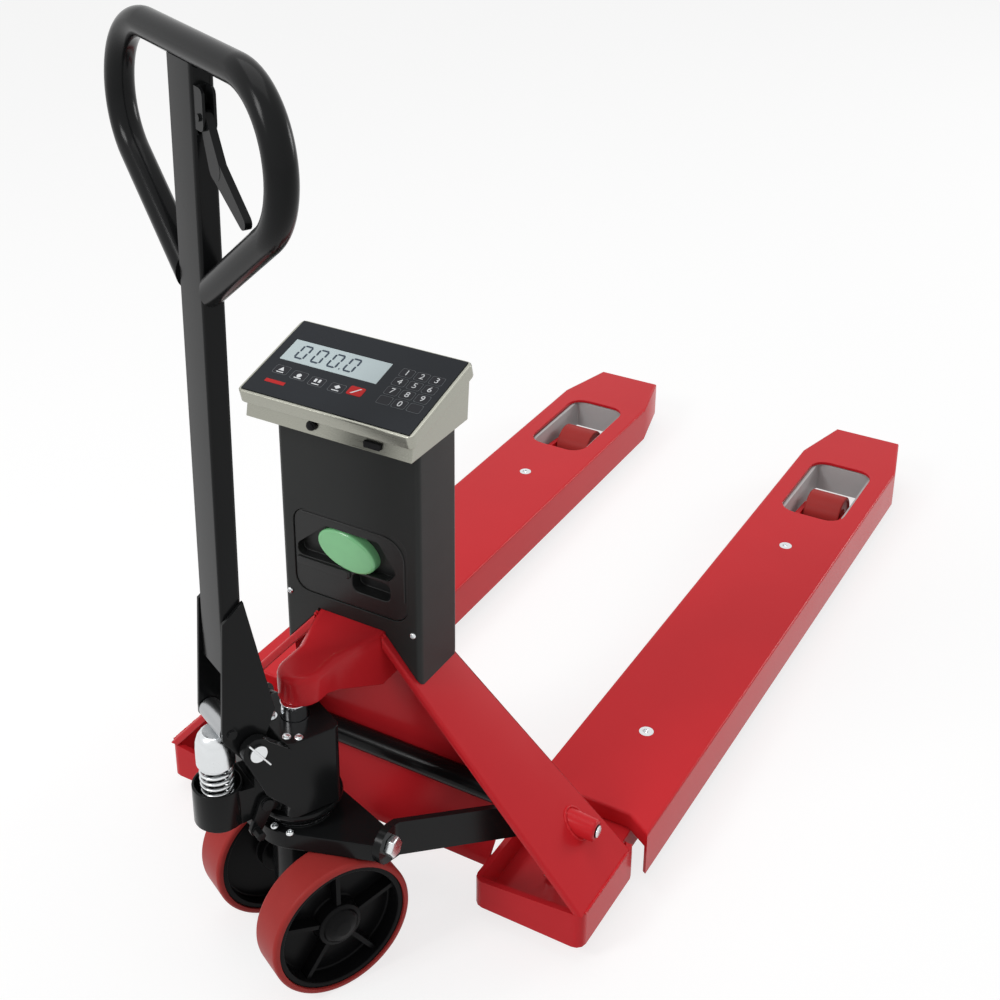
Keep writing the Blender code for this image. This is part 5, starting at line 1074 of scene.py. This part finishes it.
def make_pump_fittings():
    """Flange under the pump, plugs on top of it, the pivot's split pin and the yoke's domed bolts."""
    profile = [(0.038, 0.2155), (0.0425, 0.2155), (0.046, 0.2220), (0.0535, 0.2300), (0.0550, 0.2345),
               (0.0535, 0.2380), (0.038, 0.2395)]
    bowl = lathe(bmesh.new(), profile, 64, STEERED, closed=True)
    add_piece("pump_bowl", bowl, "black_paint", "pump", "black_paint")
    top = [(STEERED @ Vector((x, y, 0.350)), (0, 0, 1), size)
           for x, y, size in ((-0.012, -0.0275, 0.0070), (0.0335, -0.0285, 0.0042), (0.0425, -0.0170, 0.0042))]
    fittings("pump_plugs", hex_bolt(), top, "pump")
    ends = [STEERED @ Vector((0.0557, y, z)) for y, z in ((-0.0868, 0.3765), (-0.0612, 0.3395))]
    add_piece("split_pin", tube("split_pin", ends, 0.0012, 10, "zinc"), "zinc", "pump", "zinc", angle=60)
    domes = [(TRUCK @ Vector((x, -0.0500, 0.2140)), (0, 0, 1), 0.0050) for x in (-0.0013, 0.0217)]
    fittings("yoke_domes", pan_screw(), domes, "yoke")


def make_spring():
    low, high, turns = SPRING
    points = []
    for i in range(turns * 32 + 1):
        turn = 2 * math.pi * i / 32
        height = low + (high - low) * i / (turns * 32)
        points.append(STEERED @ (SPRING_PLACE + Vector((SPRING_RADIUS * math.cos(turn),
                                                        SPRING_RADIUS * math.sin(turn), height))))
    mesh = tube("plunger_coil", points, sizes().wire_radius, 12, "zinc")
    piece = add_piece("plunger_coil", mesh, "zinc", "pump", "zinc", "plunger_spring", angle=60)
    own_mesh(piece)


def make_wheels():
    for side, name in SIDES:
        out = SIDEWAYS * side
        make_wheel(name, axes(UP, out.cross(UP), out, STEERED @ Vector((0, 0, AXLE_Z))))


def make_wheel(name, place):
    """Tread with round shoulders on a dished hub with ribs, a collar and a domed cap."""
    body = "wheel_" + name
    tread = [(0.0867, 0.0530, 0.0), (0.0947, 0.0530, 0.0050), (0.0947, 0.1040, 0.0050), (0.0867, 0.1040, 0.0)]
    bm = lathe(bmesh.new(), rounded_profile(tread, 5), 128, place, closed=True)
    add_piece("steer_tread_%s_dressed" % name, bm, "tread", body, "tread", "steer_tread_" + name)
    hub = [(0.0, 0.0963, 0.0), (0.0128, 0.0963, 0.0), (0.0128, 0.0555, 0.0), (0.0300, 0.0555, 0.0012),
           (0.0300, 0.0705, 0.0025), (0.0794, 0.0705, 0.0025), (0.0794, 0.0555, 0.0012), (0.0864, 0.0555, 0.0008),
           (0.0864, 0.1015, 0.0010), (0.0794, 0.1015, 0.0016), (0.0790, 0.0785, 0.0030), (0.0300, 0.0785, 0.0030),
           (0.0290, 0.0965, 0.0018), (0.0240, 0.0975, 0.0006), (0.0225, 0.1000, 0.0008), (0.0190, 0.1025, 0.0040),
           (0.0100, 0.1052, 0.0080), (0.0, 0.1060, 0.0)]
    bm = lathe(bmesh.new(), rounded_profile(hub, 3), 96, place)
    add_piece("steer_hub_%s_dressed" % name, bm, "hub_plastic", body, "hub_plastic", "steer_hub_" + name)
    outline = rounded_outline(rectangle(0.0275, -0.0030, 0.0815, 0.0030), 0.0006, 2)
    rib = new_mesh("rib", slab(bmesh.new(), outline, 0.0750, 0.0945, Matrix.Identity(4), rim=0.0012))
    mesh = copied("ribs", bpy.data.meshes.new("ribs"), ring_tree(), "hub_plastic", rib, {"Count": 5})
    mesh.transform(place)
    add_piece("steer_hub_%s_ribs" % name, mesh, "hub_plastic", body, "hub_plastic")


def make_handle():
    dress("handle_bracket", sizes().fine_round)
    dress("handle_tube", sizes().sheet_round)
    dress("control_bracket", sizes().fine_round)
    dress("control_lever", sizes().lever_round)
    dress_all(sizes().fine_round, "release_rod", "cam_roller")
    make_loop()


def make_loop():
    """Grip loop bent from one tube, with its ends cut flush on the sides of the handle tube."""
    right = [(0.0145, 0.5663), (0.200, 0.703), (0.176, 0.824), (0.0, 0.824)]
    line = bent_line([Vector((x, LOOP_PLANE, z)) for x, z in right], [0.082, 0.085], 18)
    line = line[:-1] + [Vector((-p.x, p.y, p.z)) for p in reversed(line[:-1])]
    whole = bmesh.new()
    whole.from_mesh(tube("grip_loop", [HANDLE @ p for p in line], sizes().loop_radius, 40, "black_paint"))
    room = slab(bmesh.new(), rectangle(-TUBE_SIDE, -0.060, TUBE_SIDE, 0.060), 0.45, 0.70, HANDLE)
    loop = carved(whole, [new_mesh("room", room)])
    add_piece("handle_loop_dressed", loop, "black_paint", "handle", "black_paint", "handle_loop", angle=60)


# Stage

FLOOR_REACH = 30.0
CAMERA_PLACE = Vector((0.96481, -1.24393, 1.57015))
CAMERA_TURNS = [math.radians(angle) for angle in (31.2233, 23.9403, -0.3738)]
CAMERA_LENS = 57.455
CAMERA_SHIFT = (0.0583, -0.1861)


def make_stage():
    floor = bpy.data.meshes.new("floor")
    floor.from_pydata([(x, y, 0) for x, y in rectangle(-FLOOR_REACH, -FLOOR_REACH, FLOOR_REACH, FLOOR_REACH)], [],
                      [(0, 1, 2, 3)])
    floor.materials.append(floor_finish())
    loose_object("floor", floor)
    make_world()
    lamp("overhead", (-0.4, -0.2, 3.6), (0.0, 0.0, 0.3), 2.4, 2.4, 26.0)
    lamp("back_light", (2.95, 4.3, 1.65), (0.2, 0.2, 0.2), 1.6, 1.4, 60.0)
    lamp("front_light", (-1.3, -3.3, 3.0), (0.0, -0.4, 0.5), 0.9, 1.2, 46.0)
    make_camera()


def rays_that_see_white(tree):
    path = tree.nodes.new("ShaderNodeLightPath")
    direct = maths(tree, "MAXIMUM", path.outputs["Is Camera Ray"], path.outputs["Is Glossy Ray"])
    return maths(tree, "MAXIMUM", direct, path.outputs["Is Transmission Ray"])


def floor_finish():
    """Pale floor that looks white where it isn't shaded."""
    made = bpy.data.materials.new("pale_floor")
    made.use_nodes = True
    tree = made.node_tree
    tree.nodes.clear()
    end, shade, bounce, glow, seen, mix = new_nodes(
        tree, "ShaderNodeOutputMaterial", "ShaderNodeBsdfDiffuse", "ShaderNodeBsdfDiffuse", "ShaderNodeEmission",
        "ShaderNodeAddShader", "ShaderNodeMixShader")
    for node, level in ((shade, 0.30), (bounce, 0.70), (glow, 0.76)):
        node.inputs["Color"].default_value = (level, level, level, 1)
    tree.links.new(rays_that_see_white(tree), mix.inputs[0])
    wired(tree, (shade, 0, seen, 0), (glow, 0, seen, 1), (bounce, 0, mix, 1), (seen, 0, mix, 2),
          (mix, 0, end, "Surface"))
    return made


def make_world():
    world = bpy.data.worlds.new("studio")
    bpy.context.scene.world = world
    world.use_nodes = True
    tree = world.node_tree
    tree.nodes.clear()
    end, seen, lit, mix = new_nodes(tree, "ShaderNodeOutputWorld", "ShaderNodeBackground", "ShaderNodeBackground",
                                    "ShaderNodeMixShader")
    lit.inputs["Strength"].default_value = 0.45
    for node in (seen, lit):
        node.inputs["Color"].default_value = (1, 1, 1, 1)
    tree.links.new(rays_that_see_white(tree), mix.inputs[0])
    wired(tree, (lit, 0, mix, 1), (seen, 0, mix, 2), (mix, 0, end, "Surface"))


def lamp(name, place, target, width, height, power):
    light = bpy.data.lights.new(name, "AREA")
    light.shape = "RECTANGLE"
    light.size = width
    light.size_y = height
    light.energy = power
    made = loose_object(name, light)
    made.location = place
    made.rotation_euler = (Vector(target) - Vector(place)).to_track_quat("-Z", "Y").to_euler()


def make_camera():
    turn, drop, roll = CAMERA_TURNS
    look = Vector((-math.sin(turn) * math.cos(drop), math.cos(turn) * math.cos(drop), -math.sin(drop)))
    level = Vector((math.cos(turn), math.sin(turn), 0))
    right = level * math.cos(roll) + level.cross(look) * math.sin(roll)
    data = bpy.data.cameras.new("photo_view")
    data.sensor_width = 36.0
    data.lens = CAMERA_LENS
    data.shift_x, data.shift_y = CAMERA_SHIFT
    camera = loose_object("photo_view", data)
    camera.matrix_world = axes(right, right.cross(look), -look, TRUCK @ CAMERA_PLACE)
    bpy.context.scene.camera = camera
    bpy.context.scene.view_settings.view_transform = "Standard"


# Operators and panel

class TRUCK_OT_forks(bpy.types.Operator):
    """Dress the fork covers, the beams under them and the load cells' bolts"""
    bl_idname = "truck.forks"
    bl_label = "Forks"

    def execute(self, context):
        make_forks()
        return {"FINISHED"}


class TRUCK_OT_frame(bpy.types.Operator):
    """Dress the bases, legs, bosses, head, back panel and ram, with their welds"""
    bl_idname = "truck.frame"
    bl_label = "Frame"

    def execute(self, context):
        make_frame()
        return {"FINISHED"}


class TRUCK_OT_linkage(bpy.types.Operator):
    """Dress the rocker, push rods, roller levers and load rollers"""
    bl_idname = "truck.linkage"
    bl_label = "Lift linkage"

    def execute(self, context):
        make_linkage()
        return {"FINISHED"}


class TRUCK_OT_column(bpy.types.Operator):
    """Dress the column, its screws and the battery"""
    bl_idname = "truck.column"
    bl_label = "Column and battery"

    def execute(self, context):
        make_column()
        return {"FINISHED"}


class TRUCK_OT_indicator(bpy.types.Operator):
    """Dress the indicator's case, keys and display"""
    bl_idname = "truck.indicator"
    bl_label = "Indicator"

    def execute(self, context):
        make_indicator()
        return {"FINISHED"}


class TRUCK_OT_pump(bpy.types.Operator):
    """Dress the pump, yoke, plunger, spring and axle carrier"""
    bl_idname = "truck.pump"
    bl_label = "Pump"

    def execute(self, context):
        make_pump()
        return {"FINISHED"}


class TRUCK_OT_wheels(bpy.types.Operator):
    """Dress the steering wheels"""
    bl_idname = "truck.wheels"
    bl_label = "Steering wheels"

    def execute(self, context):
        make_wheels()
        return {"FINISHED"}


class TRUCK_OT_handle(bpy.types.Operator):
    """Dress the handle, its loop and the release lever"""
    bl_idname = "truck.handle"
    bl_label = "Handle"

    def execute(self, context):
        make_handle()
        return {"FINISHED"}


class TRUCK_OT_stage(bpy.types.Operator):
    """Set up the floor, light and camera"""
    bl_idname = "truck.stage"
    bl_label = "Stage"

    def execute(self, context):
        make_stage()
        return {"FINISHED"}


STEPS = (TRUCK_OT_forks, TRUCK_OT_frame, TRUCK_OT_linkage, TRUCK_OT_column, TRUCK_OT_indicator, TRUCK_OT_pump,
         TRUCK_OT_wheels, TRUCK_OT_handle, TRUCK_OT_stage)


class TRUCK_PT_sidebar(bpy.types.Panel):
    bl_idname = "TRUCK_PT_sidebar"
    bl_label = "Pallet truck"
    bl_space_type = "VIEW_3D"
    bl_region_type = "UI"
    bl_category = "Truck"

    def draw(self, context):
        for step in STEPS:
            self.layout.operator(step.bl_idname)
        for group in (context.scene.truck_sizes, context.scene.truck_colours):
            column = self.layout.column()
            for name in group.bl_rna.properties.keys():
                if name not in ("rna_type", "name"):
                    column.prop(group, name)


CLASSES = (TruckSizes, TruckColours, *STEPS, TRUCK_PT_sidebar)


def register():
    for made in CLASSES:
        bpy.utils.register_class(made)
    bpy.types.Scene.truck_sizes = bpy.props.PointerProperty(type=TruckSizes)
    bpy.types.Scene.truck_colours = bpy.props.PointerProperty(type=TruckColours)


def unregister():
    del bpy.types.Scene.truck_colours
    del bpy.types.Scene.truck_sizes
    for made in reversed(CLASSES):
        bpy.utils.unregister_class(made)


def main():
    register()
    for name in ("forks", "frame", "linkage", "column", "indicator", "pump", "wheels", "handle", "stage"):
        getattr(bpy.ops.truck, name)()


if __name__ == "__main__":
    main()
